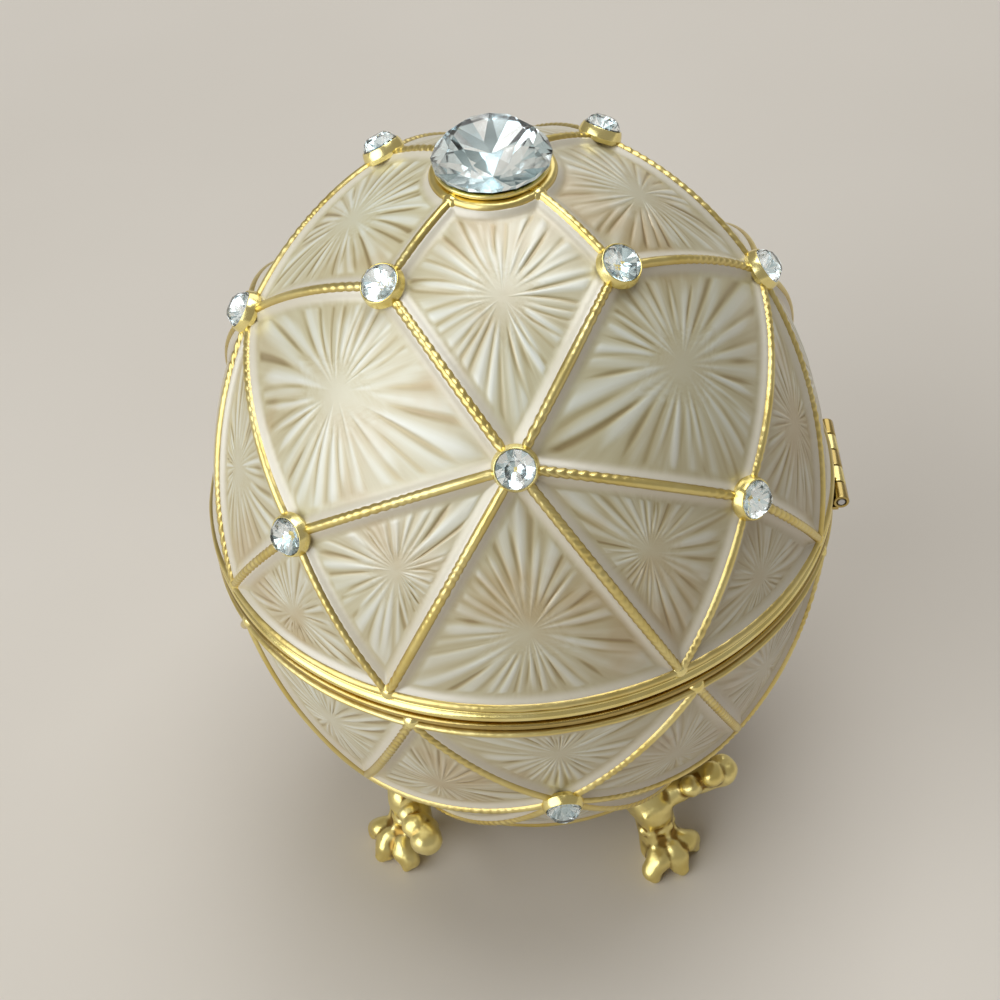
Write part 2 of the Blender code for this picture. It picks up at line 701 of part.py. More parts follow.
def feet(material):
    """Four feet, cut to sit on the table and against the base shell."""
    first = foot_form(material)
    outer = [BASE.meridian(u, SEAT_GAP) for u in steps_between(0.0, math.pi / 2, SHELL_ROWS * 2)]
    outer[-1] = (0.0, outer[-1][1])
    egg = turned("egg", outer + [(0.0, RIM_HEIGHT)], material)
    first.data.transform(Matrix.Rotation(math.radians(FOOT_TURN - 90.0), 4, 'Z'))
    combine(first, egg, 'DIFFERENCE')
    bm = bmesh.new()
    depth = 2 * EGG_RADIUS
    place = Matrix.Translation((0.0, 0.0, -depth / 2)) @ Matrix.Diagonal((4 * depth, 4 * depth, depth, 1.0))
    bmesh.ops.create_cube(bm, size=1.0, matrix=place)
    combine(first, finish(bm, "table", material), 'DIFFERENCE')
    for i in range(1, FOOT_COUNT):
        copy = bpy.data.objects.new(f"foot_{i + 1}", first.data.copy())
        copy.data.transform(Matrix.Rotation(math.tau * i / FOOT_COUNT, 4, 'Z'))
        bpy.context.scene.collection.objects.link(copy)


def hang_lid():
    """Parent the lid's pieces to an empty on the hinge axis."""
    hinge = bpy.data.objects.new("lid_hinge_axis", None)
    bpy.context.scene.collection.objects.link(hinge)
    hinge.location = Vector((HINGE_X, 0.0, RIM_HEIGHT)) * MM
    for piece in bpy.data.objects:
        if piece.name.startswith(("lid_", "crown_")) and piece is not hinge:
            piece.parent = hinge
            piece.location = -hinge.location


def main():
    """Build every piece."""
    clear_scene()
    enamel = look("pearl_enamel", (0.72, 0.62, 0.44), 0.3, 0.25)
    gold = look("gold_plate", (0.83, 0.6, 0.18), 0.22, 1.0)
    crystal = look("clear_stone", (0.82, 0.88, 0.9), 0.04, 0.0)
    steel = look("magnet_plate", (0.6, 0.6, 0.6), 0.35, 1.0)
    turned("lid_shell", shell_outline(LID, LID_EDGE, COLLET_HOLE_RADIUS), enamel)
    turned("base_shell", shell_outline(BASE, BASE_EDGE, 0.0), enamel)
    rim_band("lid_rim", LID, LID_BAND_HEIGHT, band_outline(LID, LID_BAND_HEIGHT), gold, 1)
    rim_band("base_rim", BASE, BASE_BAND_HEIGHT, base_band_outline(), gold, 0)
    turned("hinge_pin", rod_outline(PIN_RADIUS, HINGE_LENGTH), steel, KNUCKLE_SIDES, along_hinge(0.0))
    magnet("lid_magnet", LID, steel)
    magnet("base_magnet", BASE, steel)
    lid_ribs = lid_trellis()
    lid_ribs.build("lid_trellis", gold, RIM_WALK)
    small_stones("lid_stone", lid_ribs, crystal)
    base_ribs = base_trellis()
    base_ribs.build("base_trellis", gold, RIM_WALK)
    small_stones("base_stone", base_ribs, crystal)
    crown_collet(gold)
    crown_stone(crystal)
    feet(gold)
    hang_lid()


main()
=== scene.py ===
"""Looks of the egg trinket box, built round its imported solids.

Lengths are in millimetres and become metres where Blender takes them. Places on the egg are directions,
unit vectors on a sphere of polar angles, which each half stretches to its own shape.
"""
import json
import math

import bmesh
import bpy
import numpy as np
from mathutils import Matrix, Vector, noise as solid_noise


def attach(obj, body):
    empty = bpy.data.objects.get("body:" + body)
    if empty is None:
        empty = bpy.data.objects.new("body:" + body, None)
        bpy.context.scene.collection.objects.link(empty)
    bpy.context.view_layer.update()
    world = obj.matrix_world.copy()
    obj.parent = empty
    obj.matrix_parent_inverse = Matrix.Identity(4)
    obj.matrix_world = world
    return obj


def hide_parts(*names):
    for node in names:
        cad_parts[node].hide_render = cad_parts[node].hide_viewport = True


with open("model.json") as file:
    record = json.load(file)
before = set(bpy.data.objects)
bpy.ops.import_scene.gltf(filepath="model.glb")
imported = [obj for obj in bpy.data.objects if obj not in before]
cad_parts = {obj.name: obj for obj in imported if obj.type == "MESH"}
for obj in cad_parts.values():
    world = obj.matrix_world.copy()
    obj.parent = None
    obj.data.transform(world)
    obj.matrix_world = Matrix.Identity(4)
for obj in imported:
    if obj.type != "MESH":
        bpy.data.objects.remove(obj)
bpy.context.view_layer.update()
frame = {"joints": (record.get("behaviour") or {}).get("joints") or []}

MM = 0.001
MERGE = 1e-3
HINGE = Vector(frame["joints"][0]["pos_m"]) / MM
RIM_HEIGHT = HINGE.z

# Egg form, as in the solids
EGG_RADIUS = 27.0
LID_RISE = 33.6
BASE_DROP = 36.0
LID_POWER = 1.1
BASE_POWER = 1.05
WALL = 1.6
SEAT_GAP = 0.15
SEAM_GAP = 0.3

# Fineness of a half's table, and the least values that are divided by
TABLE_POINTS = 2001
LEAST_COSINE = 1e-6
TINY = 1e-9

# Rim bands, with a roll at the seam and a bead at the shell
BAND_INNER = 25.35
LID_BAND = 1.05
BASE_BAND = 0.85
LID_ROLL = 0.8
BASE_ROLL = 0.5
# Painted shade over the whole base band, which lies in the lid band's shadow
BASE_PAINTED_SHADE = 0.65
SEAM_RELIEF = 0.7
SHELL_RELIEF = 0.5
ROLL_ANGLES = (-80.0, 65.0)
BEAD_ANGLES = (-60.0, 85.0)
BEAD_POINTS = 12
EDGE_ROUND = 0.1
LIP_OUTER = 25.1
LIP_INNER = 24.6
LIP_RISE = 1.1
LID_EDGE = SEAM_GAP / 2 + LID_BAND + SEAT_GAP
BASE_EDGE = SEAM_GAP / 2 + BASE_BAND + SEAT_GAP

# Hinge and magnets, as in the solids
HINGE_LENGTH = 10.2
KNUCKLES = 5
KNUCKLE_RADIUS = 0.7
KNUCKLE_GAP = 0.15
HINGE_CLEARANCE = 0.2
PIN_RADIUS = 0.35
BORE_RADIUS = 0.43
WEB_BITE = 0.35
WEB_CLEARANCE = 0.1
MAGNET_REACH = (BAND_INNER + EGG_RADIUS) / 2
MAGNET_RADIUS = 0.6
MAGNET_THICKNESS = 0.45
MAGNET_CLEARANCE = 0.1

# Trellis: angles in degrees, and rings by their distance from the parting plane
QUARTERS = 4
BETWEEN = 180.0 / QUARTERS
QUARTER_TURN = 90.0
NECK_RADIUS = 4.52
NECK_FILL = 1.55
HOLE_RADIUS = 3.0
HOOP_RADIUS = 17.4
RIM_RIB_WIDTH = 0.3
RIM_NODE_SPREAD = 25.2
LID_HIGH_RING = 29.4
LID_MID_RING = 21.2
LID_LOW_RING = 13.2
LID_TURN = 1.6
BASE_MID_RING = 13.5
BASE_LOW_RING = 17.6
BASE_TURN = 5.0

# Rays over a cell: the part of them that is measured, and the points on it
FAN_START = 0.2
FAN_POINTS = 41

# Gold rib section: distance from the crest line and height over the egg
RIB_SECTION = ((0.0, 0.75), (0.16, 0.72), (0.3, 0.6), (0.41, 0.42), (0.48, 0.12))
RIB_SEAT = 0.12
RIB_STEP = 0.17

# Notches along the ribs, with slow waves over the egg that shift and fade them
NOTCH_PITCH = 0.78
NOTCH_DEPTH = 0.1
NOTCH_WIDTH = 0.15
# Painted shade in the notches: how far their gold is darkened
NOTCH_PAINTED_SHADE = 0.5
NOTCH_SHIFT = 1.5
SHIFT_WAVE = (0.9, 0.7, 0.8)
FADE_WAVE = (0.45, 0.3, 0.21)

# Drops of gold where ribs run into a hoop
DROP_RADIUS = 0.85
DROP_HEIGHT = 0.85
DROP_POINTS = 14
DROP_SEGMENTS = 24

# Enamel section: distance from the crest line and height over the egg
ENAMEL_SECTION = ((0.0, 0.0), (0.26, 0.0), (0.28, 0.42), (0.42, 0.4), (0.54, 0.33), (0.68, 0.22),
                  (0.84, 0.11), (1.02, 0.04), (1.22, 0.0))
ENAMEL_DEPTH = 0.5
ENAMEL_STEP = 0.2
PANEL_ROWS = 20
UNDER_ROWS = 3
BORDER_OUTER = 0.6
BORDER_INNER = 1.25
SKIN_GAP = 0.05
LINING_ROWS = 28

# Values kept on the enamel's points
PANEL_VALUES = ("ray", "border", "drawn", "reach", "east", "north")
PLAIN_RAY = 0.5
PANEL_SHIFT = 4.0

# Sunburst of raised strokes and cuts in turn, in shares of their pitch and of the rays' length.
# Pairs of widths, starts and heights are for a stroke and a cut.
STROKES = 60
STROKE_RELIEF = 0.075
STROKE_SCATTER = 0.4
STROKE_BEND = 1.6
WIDTHS = (1.15, 0.55)
WIDTH_SHARES = (0.6, 1.1)
LEAST_WIDTH = 0.15
STARTS = (0.05, 0.25)
START_SPREAD = 0.35
END_SHARES = (1.0, 1.6)
HEIGHTS = (0.9, -1.0)
HEIGHT_SHARES = (0.3, 1.0)
FADE_IN = (-0.1, 0.15)
FADE_OUT = 0.35
GLOW = 0.2
GLOW_SHARE = 0.42
CORE_SHARE = 0.45

# Stones: girdle radius, table radius, crown height, girdle height, pavilion depth
SMALL_CUT = (1.5, 0.85, 0.75, 0.2, 0.6)
CROWN_CUT = (4.7, 2.75, 1.9, 0.3, 2.2)
CROWN_SEED = 7
MAINS = 8
STAR_SHARE = 0.45
KEEL_SHARE = 0.3
STONE_LIFT = 1.25
CROWN_LIFT = 1.0

# Stone cups as a turned outline of radius and height, and the collet of the crown stone
CUP_OUTLINE = ((0.0, 0.2), (1.65, 0.2), (1.84, 0.6), (1.76, 1.0), (1.63, 1.36), (1.52, 1.34),
               (1.56, 1.1), (0.0, 0.52))
CUP_ROUND = 0.1
COLLET_WALL = 0.4
COLLET_SETBACK = 0.15
COLLET_FLARE = 0.6
COLLET_ROUND = 0.18
STEM_RADIUS = 2.75
COLLET_FOOT = 3.75

# Leg and side scroll of a foot: stations of x, y, z and radius, with x pointing out from the egg's axis
FOOT_COUNT = 4
FOOT_TURN = 38.6
PAD_REACH = 12.4
PAD_RADIUS = 2.4
LEG = ((16.2, 0.0, 7.2, 2.25), (16.9, 0.0, 4.6, 1.75), (17.6, 0.0, 2.6, 1.95), (18.3, 0.0, 1.45, 2.2))
ARM = ((16.6, 0.6, 7.2, 1.6), (18.0, 3.3, 8.0, 1.25), (19.0, 5.6, 8.8, 1.45))
SCROLL_LOBES = ((19.4, 6.5, 9.0, 1.6), (19.6, 5.1, 9.7, 1.25))
BALL = (18.95, 3.15, 8.95, 1.05)

# Toes: stations of reach, reach along the toe's own way, height, radius and share of the spread
TOE_STATIONS = ((18.2, 0.9, 2.5, 1.15, 0.3), (18.8, 1.3, 2.0, 1.2, 0.7), (18.6, 1.8, 1.15, 1.12, 1.05))
CLAW = (18.9, 2.2, 0.62, 0.62, 1.12)
TOE_FAN = 62.0
TOE_SPREAD = 2.65

# Relief on the leg, at angles in degrees from its front
VEIN_TURNS = (-46.0, 0.0, 46.0)
VEIN_RADIUS = 0.42
VEIN_SINK = 0.1
PEARL_TURNS = (-80.0, -48.0, -16.0, 16.0, 48.0, 80.0)
PEARL_RADIUS = 0.5

# Castings: points along a limb, skin, and fineness of the egg that cuts them
LIMB_POINTS = 9
VOXEL = 0.17
SMOOTHING = 5
CAST_PITCH = 0.7
CAST_RELIEF = 0.22
# Painted shade in the hollows of a casting: its gain and how far it spreads over the points
HOLLOW_GAIN = 26.0
HOLLOW_SPREAD = 6
EGG_POINTS = 60
EGG_SEGMENTS = 160

# Turned pieces: segments, rounding of outlines, and angles in degrees at which an edge shows as sharp
BAND_SEGMENTS = 192
BOWL_SEGMENTS = 128
SMALL_SEGMENTS = 40
PIN_SEGMENTS = 32
ROUND_POINTS = 4
ROUND_SHARE = 0.45
ROUND_TURN = 25.0
PLAIN_SHARP = 40.0
ENAMEL_SHARP = 50.0
RIB_SHARP = 60.0
STONE_SHARP = 1.0

# Colours of enamel, from the cuts to the crests of the strokes, and of the haze over them
ENAMEL_GROUND = ((0.24, (0.36, 0.27, 0.11)), (0.42, (0.51, 0.435, 0.24)), (0.54, (0.61, 0.555, 0.37)),
                 (0.7, (0.735, 0.72, 0.605)), (0.88, (0.83, 0.84, 0.79)))
ENAMEL_HAZE = ((0.34, (0.83, 0.69, 0.47)), (0.46, (0.95, 0.92, 0.83)), (0.65, (0.99, 1.0, 0.95)))
ENAMEL_METAL = ((0.3, (0.4, 0.4, 0.4)), (0.5, (0.05, 0.05, 0.05)))
ENAMEL_BORDER = (0.72, 0.66, 0.52)
ENAMEL_POLISH = (0.36, 0.54)
HAZE_SCALE = 105.0
HAZE_SHARE = 0.9
RAY_TONES = (0.15, 0.9)

# Fine streaks in the enamel: scales round and along the rays, share in the tone, strength and depth
STREAK_SCALES = (10.0, 1.0)
STREAK_SHARE = 0.3
STREAK_RELIEF = (0.25, 0.12)

# Gold: least and most roughness, grain for each metre and strength of the grain
POLISHED_GOLD = (0.14, 0.28, 900.0, 0.12)
CAST_GOLD = (0.24, 0.42, 1100.0, 0.3)
SATIN_GOLD = (0.32, 0.5, 2500.0, 0.3)
GOLD_TONES = ((0.3, (0.83, 0.67, 0.22)), (0.7, (0.95, 0.84, 0.4)))
# Colour of painted shade on gold: notches, the ribs' feet, the feet's hollows and the base band
GOLD_PAINTED_SHADE = (0.3, 0.18, 0.04)
GOLD_TONE_SCALE = 260.0
GRAIN_DEPTH = 0.2

# Stone and steel: noise scale and detail, tones, and least and most roughness
STONE_FINISH = (180.0, 2.0, ((0.3, (0.9, 0.96, 0.97)), (0.7, (0.98, 0.99, 1.0))), (0.0, 0.03))
STEEL_FINISH = (900.0, 4.0, ((0.3, (0.52, 0.52, 0.53)), (0.7, (0.66, 0.66, 0.66))), (0.25, 0.45))

# Foil behind the stones, with painted glints: a lighter or darker tone for each facet, and a noise, stand in
# for what the facets reflect
FOIL_GLINT_TONES = ((0.15, (0.24, 0.32, 0.34)), (0.4, (0.66, 0.78, 0.82)), (0.7, (0.94, 0.96, 0.96)))
FOIL_POLISH = (0.03, 0.2)
FOIL_SCALE = 330.0
FACET_GLINT_SHARE = 0.7

# Lamps: place, size, power in watts and colour
LAMPS = {
    "key": ((-470.0, -340.0, 340.0), 700.0, 3.7, (0.92, 0.96, 1.0)),
    "top": ((60.0, 100.0, 750.0), 500.0, 2.8, (0.94, 0.97, 1.0)),
    "back": ((150.0, 500.0, 450.0), 400.0, 0.6, (1.0, 1.0, 1.0)),
}

# World and floor: strengths of the light and of the backdrop, and where the floor runs into the backdrop
WORLD_COLOUR = (0.97, 0.92, 0.84)
WORLD_LIGHT = 0.11
WORLD_BACKDROP = 0.75
METAL_BACKDROP = 0.35
FLOOR_TONES = ((0.3, (0.68, 0.62, 0.54)), (0.7, (0.72, 0.66, 0.58)))
# Colour of the floor in the light it throws back onto the object: darker and browner than it looks, a
# painted shade on the egg's lower side
FLOOR_SHADE_BOUNCE = (0.42, 0.33, 0.24)
FLOOR_SCALE = 12.0
FLOOR_NEAR = 120.0
FLOOR_FAR = 500.0
FLOOR_REACH = 3000.0

# Camera of the photograph: place, turn about X, Y and Z in degrees, and lens
CAMERA_PLACE = (4.836, -119.242, 153.736)
CAMERA_TURN = (45.33164, 4.06905, -0.74116)
CAMERA_LENS = 66.56
CAMERA_NEAR = 5.0


class Half:
    """One half of the egg, a turned surface with r = R cos(u)^power and z = rise sin(u)."""

    def __init__(self, rise, power, sign):
        self.rise = rise
        self.power = power
        self.sign = sign
        self.table = np.linspace(0.0, math.pi / 2, TABLE_POINTS)

    def meridian(self, u, lift=0.0):
        """Radius and height of surface points at polar angles u, moved along the normal by lift."""
        cosine = np.maximum(np.cos(u), LEAST_COSINE)
        slope_r = self.rise * cosine
        slope_z = EGG_RADIUS * self.power * cosine ** (self.power - 1.0) * np.sin(u)
        length = np.hypot(slope_r, slope_z)
        radius = EGG_RADIUS * cosine ** self.power + lift * slope_r / length
        rise = self.rise * np.sin(u) + lift * slope_z / length
        return radius, RIM_HEIGHT + self.sign * rise

    def spot(self, u, lift=0.0):
        """Radius and height of one surface point as plain numbers."""
        return tuple(map(float, self.meridian(u, lift)))

    def surface(self, directions, lift=0.0):
        """Points of the egg in these directions, moved along the normal by lift."""
        radius, height = self.meridian(np.arcsin(np.clip(directions[..., 2], -1.0, 1.0)), lift)
        level = np.maximum(np.hypot(directions[..., 0], directions[..., 1]), TINY)
        across = directions[..., :2] * (radius / level)[..., None]
        return np.concatenate([across, height[..., None]], axis=-1)

    def angle_at_rise(self, rise, lift=0.0):
        """Polar angle where the lifted surface is this far from the parting plane."""
        height = self.meridian(self.table, lift)[1]
        return float(np.interp(rise, self.sign * (height - RIM_HEIGHT), self.table))

    def angle_at_radius(self, radius, lift=0.0):
        """Polar angle where the lifted surface has this radius."""
        return float(np.interp(radius, self.meridian(self.table, lift)[0][::-1], self.table[::-1]))


LID = Half(LID_RISE, LID_POWER, 1)
BASE = Half(BASE_DROP, BASE_POWER, -1)


def direction_at(u, azimuth):
    """Unit vector at polar angle u and an azimuth in degrees from the front towards the hinge."""
    turn = np.radians(azimuth)
    level = np.cos(u) * np.ones_like(turn)
    return np.stack([level * np.sin(turn), -level * np.cos(turn), np.sin(u) * np.ones_like(turn)], axis=-1)


def arc_between(first, last, shares):
    """Directions along great circles from first to last, which may be arrays."""
    angle = np.arccos(np.clip(np.sum(first * last, axis=-1, keepdims=True), -1.0, 1.0))
    angle = np.maximum(angle, TINY)
    return (np.sin((1.0 - shares) * angle) * first + np.sin(shares * angle) * last) / np.sin(angle)


class Net:
    """Crossings of one half's trellis by name, and its cells as closed walks over them."""

    def __init__(self, half, turn, cup_rings):
        self.half = half
        self.turn = turn
        self.cup_rings = cup_rings
        self.nodes = {}
        self.hoops = set()
        self.cells = []

    def ring(self, name, u, azimuths, hoop=False):
        """A ring of crossings. The crossings of a hoop are joined by level arcs."""
        for i, azimuth in enumerate(azimuths):
            self.nodes[name, i] = (u, azimuth + self.turn)
        if hoop:
            self.hoops.add(name)

    def edge(self, start, end, step):
        """Directions and lengths along a rib, without its last point. A hoop stays between two notches."""
        low, high = sorted((start, end))
        u_low, first = self.nodes[low]
        u_high, last = self.nodes[high]
        ends = direction_at(np.array([u_low, u_high]), np.array([first, last]))
        span = np.linalg.norm(np.diff(self.half.surface(ends), axis=0))
        shares = np.linspace(0.0, 1.0, max(2, math.ceil(span / step)) + 1)
        if low[0] in self.hoops and high[0] in self.hoops:
            sweep = (last - first + 180.0) % 360.0 - 180.0
            directions = direction_at(u_low, first + sweep * shares)
            along = np.full(len(shares), NOTCH_PITCH / 2)
        else:
            directions = arc_between(ends[0], ends[1], shares[:, None])
            along = shares * span
        if start > end:
            directions = directions[::-1]
            along = along[::-1]
        return directions[:-1], along[:-1]

    def walk(self, keys, step):
        """Directions and lengths along each rib, all the way round a cell."""
        edges = [self.edge(key, keys[(i + 1) % len(keys)], step) for i, key in enumerate(keys)]
        return np.concatenate([edge[0] for edge in edges]), np.concatenate([edge[1] for edge in edges])

    def place(self, key):
        """Placement on a crossing, with local Z along the egg's normal."""
        direction = direction_at(*self.nodes[key])
        foot = Vector(self.half.surface(direction))
        normal = Vector(self.half.surface(direction, 1.0)) - foot
        return Matrix.Translation(foot) @ normal.to_track_quat('Z', 'Y').to_matrix().to_4x4()

    def keys(self, *rings):
        """Crossings of these rings."""
        return [key for key in self.nodes if key[0] in rings]


def quarter(offset, *spread):
    """Azimuths of a ring: the offset and each spread, repeated every quarter turn."""
    return [QUARTER_TURN * k + offset + step for k in range(QUARTERS) for step in (spread or (0.0,))]


def add_rim_cells(net, edge):
    """The rim's ring, and three-sided cells between it, the middle ring and the low ring."""
    rim = net.half.angle_at_rise(edge + RIM_RIB_WIDTH)
    net.ring("rim", rim, quarter(0.0, -RIM_NODE_SPREAD, RIM_NODE_SPREAD), hoop=True)
    for k in range(QUARTERS):
        after = (k + 1) % QUARTERS
        left = ("rim", 2 * k)
        right = ("rim", 2 * k + 1)
        next_left = ("rim", 2 * after)
        net.cells.append([("mid", k), ("low", k), right])
        net.cells.append([("mid", after), next_left, ("low", k)])
        net.cells.append([("mid", k), left, right])
        net.cells.append([("low", k), right, next_left])


def lid_net():
    """Trellis of the lid, open round the crown collet."""
    net = Net(LID, LID_TURN, ("high", "mid", "low"))
    net.ring("neck", LID.angle_at_radius(NECK_RADIUS), quarter(BETWEEN), hoop=True)
    net.ring("high", LID.angle_at_rise(LID_HIGH_RING), quarter(BETWEEN))
    net.ring("mid", LID.angle_at_rise(LID_MID_RING), quarter(0.0))
    net.ring("low", LID.angle_at_rise(LID_LOW_RING), quarter(BETWEEN))
    for k in range(QUARTERS):
        before = (k - 1) % QUARTERS
        after = (k + 1) % QUARTERS
        net.cells.append([("neck", before), ("neck", k), ("high", k), ("mid", k), ("high", before)])
        net.cells.append([("high", k), ("mid", after), ("low", k), ("mid", k)])
    add_rim_cells(net, LID_EDGE)
    return net


def base_net():
    """Trellis of the base, with a plain round panel under the egg."""
    net = Net(BASE, BASE_TURN, ("mid",))
    net.ring("hoop", BASE.angle_at_radius(HOOP_RADIUS), quarter(BETWEEN), hoop=True)
    net.ring("mid", BASE.angle_at_rise(BASE_MID_RING), quarter(0.0))
    net.ring("low", BASE.angle_at_rise(BASE_LOW_RING), quarter(BETWEEN))
    for k in range(QUARTERS):
        before = (k - 1) % QUARTERS
        after = (k + 1) % QUARTERS
        net.cells.append([("hoop", before), ("hoop", k), ("mid", k)])
        net.cells.append([("hoop", k), ("mid", after), ("low", k), ("mid", k)])
    add_rim_cells(net, BASE_EDGE)
    net.cells.append(net.keys("hoop"))
    return net


class Fan:
    """Rays from the middle of a cell to each point of its border."""

    def __init__(self, net, keys, step, centre=None):
        self.half = net.half
        self.border, self.along = net.walk(keys, step)
        middle = self.border.mean(axis=0) if centre is None else np.array(centre)
        self.centre = middle / np.linalg.norm(middle)
        self.shares = np.linspace(FAN_START, 1.0, FAN_POINTS)
        spots = self.half.surface(self.on_rays(self.shares[None, :]))
        self.depths = self.depth_of(spots)

    def on_rays(self, shares):
        """Directions on every ray at shares of its length, an array of rays by rows."""
        return arc_between(self.centre, self.border[:, None, :], shares[..., None])

    def depth_of(self, spots):
        """Distance of points from the border's line, never falling from the border inwards."""
        start = self.half.surface(self.border)
        run = np.roll(start, -1, axis=0) - start
        least = np.full(spots.shape[:2], np.inf)
        for foot, way in zip(start, run):
            offset = spots - foot
            share = np.clip(offset @ way / (way @ way), 0.0, 1.0)
            least = np.minimum(least, np.linalg.norm(offset - share[..., None] * way, axis=-1))
        return np.maximum.accumulate(least[:, ::-1], axis=1)

    def share_at(self, depth):
        """Share of each ray's length at which it lies this far from the border."""
        inward = self.shares[::-1]
        targets = np.broadcast_to(depth, len(self.border))
        return np.array([np.interp(target, depths, inward) for target, depths in zip(targets, self.depths)])

    def row(self, shares, lift):
        """Points at one share of each ray, lifted over the egg."""
        return self.half.surface(self.on_rays(shares[:, None])[:, 0, :], lift)

    def angles(self):
        """Angle of each ray round the cell's middle."""
        side = np.cross(self.centre, self.border[0])
        side /= np.linalg.norm(side)
        ahead = np.cross(side, self.centre)
        return np.arctan2(self.border @ side, self.border @ ahead)


def keep_values(mesh, name, values, domain='POINT'):
    """Keep one value, or one for each, on the points or faces of a mesh."""
    attribute = mesh.attributes.new(name, 'FLOAT', domain)
    numbers = np.broadcast_to(values, len(attribute.data))
    attribute.data.foreach_set("value", numbers.astype(np.float32))


class Patchwork:
    """Rows of points gathered into one mesh, with values kept on the points."""

    def __init__(self, *value_names):
        self.points = []
        self.faces = []
        self.value_names = value_names
        self.values = []
        self.count = 0

    def add_points(self, points, values):
        """Add points with their values and return their numbers."""
        self.points.append(points)
        self.values.append(np.broadcast_to(values, (len(points), len(self.value_names))))
        numbers = np.arange(self.count, self.count + len(points))
        self.count += len(points)
        return numbers

    def add_rows(self, rows, values=None, tip=None):
        """Join closed rows of points one after another, and the last one to a tip."""
        values = [()] * len(rows) if values is None else values
        numbers = [self.add_points(row, value) for row, value in zip(rows, values)]
        for upper, lower in zip(numbers, numbers[1:]):
            quads = np.stack([np.roll(upper, 1), upper, lower, np.roll(lower, 1)], axis=1)
            self.faces += quads.tolist()
        if tip is not None:
            top = self.add_points(tip[None, :], values[-1][:1])[0]
            last = numbers[-1]
            spokes = np.stack([np.roll(last, 1), last, np.full(len(last), top)], axis=1)
            self.faces += spokes.tolist()

    def add_turned(self, outline, segments, place=Matrix()):
        """A closed outline of (radius, height) turned about the local Z of a placement."""
        turn = np.arange(segments) * math.tau / segments
        spin = np.stack([np.cos(turn), np.sin(turn), np.zeros(segments)], axis=1)
        axes = np.array(place)
        rows = []
        for radius, height in outline:
            ring = spin * radius + np.array((0.0, 0.0, height))
            rows.append(ring @ axes[:3, :3].T + axes[:3, 3])
        on_axis = outline[0][0] < MERGE and outline[-1][0] < MERGE
        self.add_rows(rows if on_axis else rows + rows[:1])

    def mesh(self, name):
        """The merged mesh in metres, with its values as point attributes."""
        mesh = bpy.data.meshes.new(name)
        mesh.from_pydata(np.concatenate(self.points) * MM, [], self.faces)
        values = np.concatenate(self.values)
        for i, value_name in enumerate(self.value_names):
            keep_values(mesh, value_name, values[:, i])
        bm = bmesh.new()
        bm.from_mesh(mesh)
        bmesh.ops.remove_doubles(bm, verts=bm.verts, dist=MERGE * MM)
        bmesh.ops.recalc_face_normals(bm, faces=bm.faces)
        bm.to_mesh(mesh)
        bm.free()
        return mesh


def turned_mesh(name, outline, segments, place=Matrix()):
    """A mesh of one turned outline."""
    work = Patchwork()
    work.add_turned(outline, segments, place)
    return work.mesh(name)


def mesh_from(name, bm):
    """A new mesh of what a bmesh holds, which is freed."""
    mesh = bpy.data.meshes.new(name)
    bm.to_mesh(mesh)
    bm.free()
    return mesh


def box_mesh(name, boxes):
    """Boxes from their middles and sizes."""
    bm = bmesh.new()
    for middle, size in boxes:
        place = Matrix.Translation(Vector(middle) * MM) @ Matrix.Diagonal((*(Vector(size) * MM), 1.0))
        bmesh.ops.create_cube(bm, size=1.0, matrix=place)
    return mesh_from(name, bm)


def evaluated(item):
    """The mesh of an object with its modifiers applied."""
    graph = bpy.context.evaluated_depsgraph_get()
    graph.update()
    return bpy.data.meshes.new_from_object(item.evaluated_get(graph))


def linked(data):
    """A new object of the scene for a mesh, a light or a camera."""
    item = bpy.data.objects.new(data.name, data)
    bpy.context.scene.collection.objects.link(item)
    return item


def combined(mesh, operation, *others):
    """A mesh joined with others or cut by them, one after another."""
    for other in others:
        items = [linked(mesh), linked(other)]
        modifier = items[0].modifiers.new(operation.lower(), 'BOOLEAN')
        modifier.operation = operation
        modifier.solver = 'EXACT'
        modifier.object = items[1]
        mesh = evaluated(items[0])
        for item in items:
            bpy.data.objects.remove(item)
    return mesh


def rounded(outline, radius):
    """A closed outline with its sharper corners rounded, apart from points on the axis."""
    points = [Vector(point) for point in outline]
    result = []
    for i, corner in enumerate(points):
        before = points[i - 1] - corner
        after = points[(i + 1) % len(points)] - corner
        turn = math.pi - before.angle(after)
        if corner.x < MERGE or turn < math.radians(ROUND_TURN):
            result.append(tuple(corner))
            continue
        cut = min(radius * math.tan(turn / 2), before.length * ROUND_SHARE, after.length * ROUND_SHARE)
        first = corner + before.normalized() * cut
        last = corner + after.normalized() * cut
        for k in range(ROUND_POINTS + 1):
            share = k / ROUND_POINTS
            result.append(tuple(first.lerp(corner, share).lerp(corner.lerp(last, share), share)))
    return result


def add_piece(name, mesh, body, nodes, look="gold", sharp_angle=PLAIN_SHARP):
    """Show a mesh in a look, as a piece that rides on a body and stands for solids."""
    slot, materials = LOOKS[look]
    for material in materials:
        mesh.materials.append(material)
    mesh.shade_smooth()
    mesh.set_sharp_from_angle(angle=math.radians(sharp_angle))
    mesh.name = name
    piece = linked(mesh)
    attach(piece, body)
    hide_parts(*nodes)


def smooth_step(low, high, value):
    """Rises from 0 to 1 between low and high."""
    share = np.clip((value - low) / (high - low), 0.0, 1.0)
    return share * share * (3.0 - 2.0 * share)


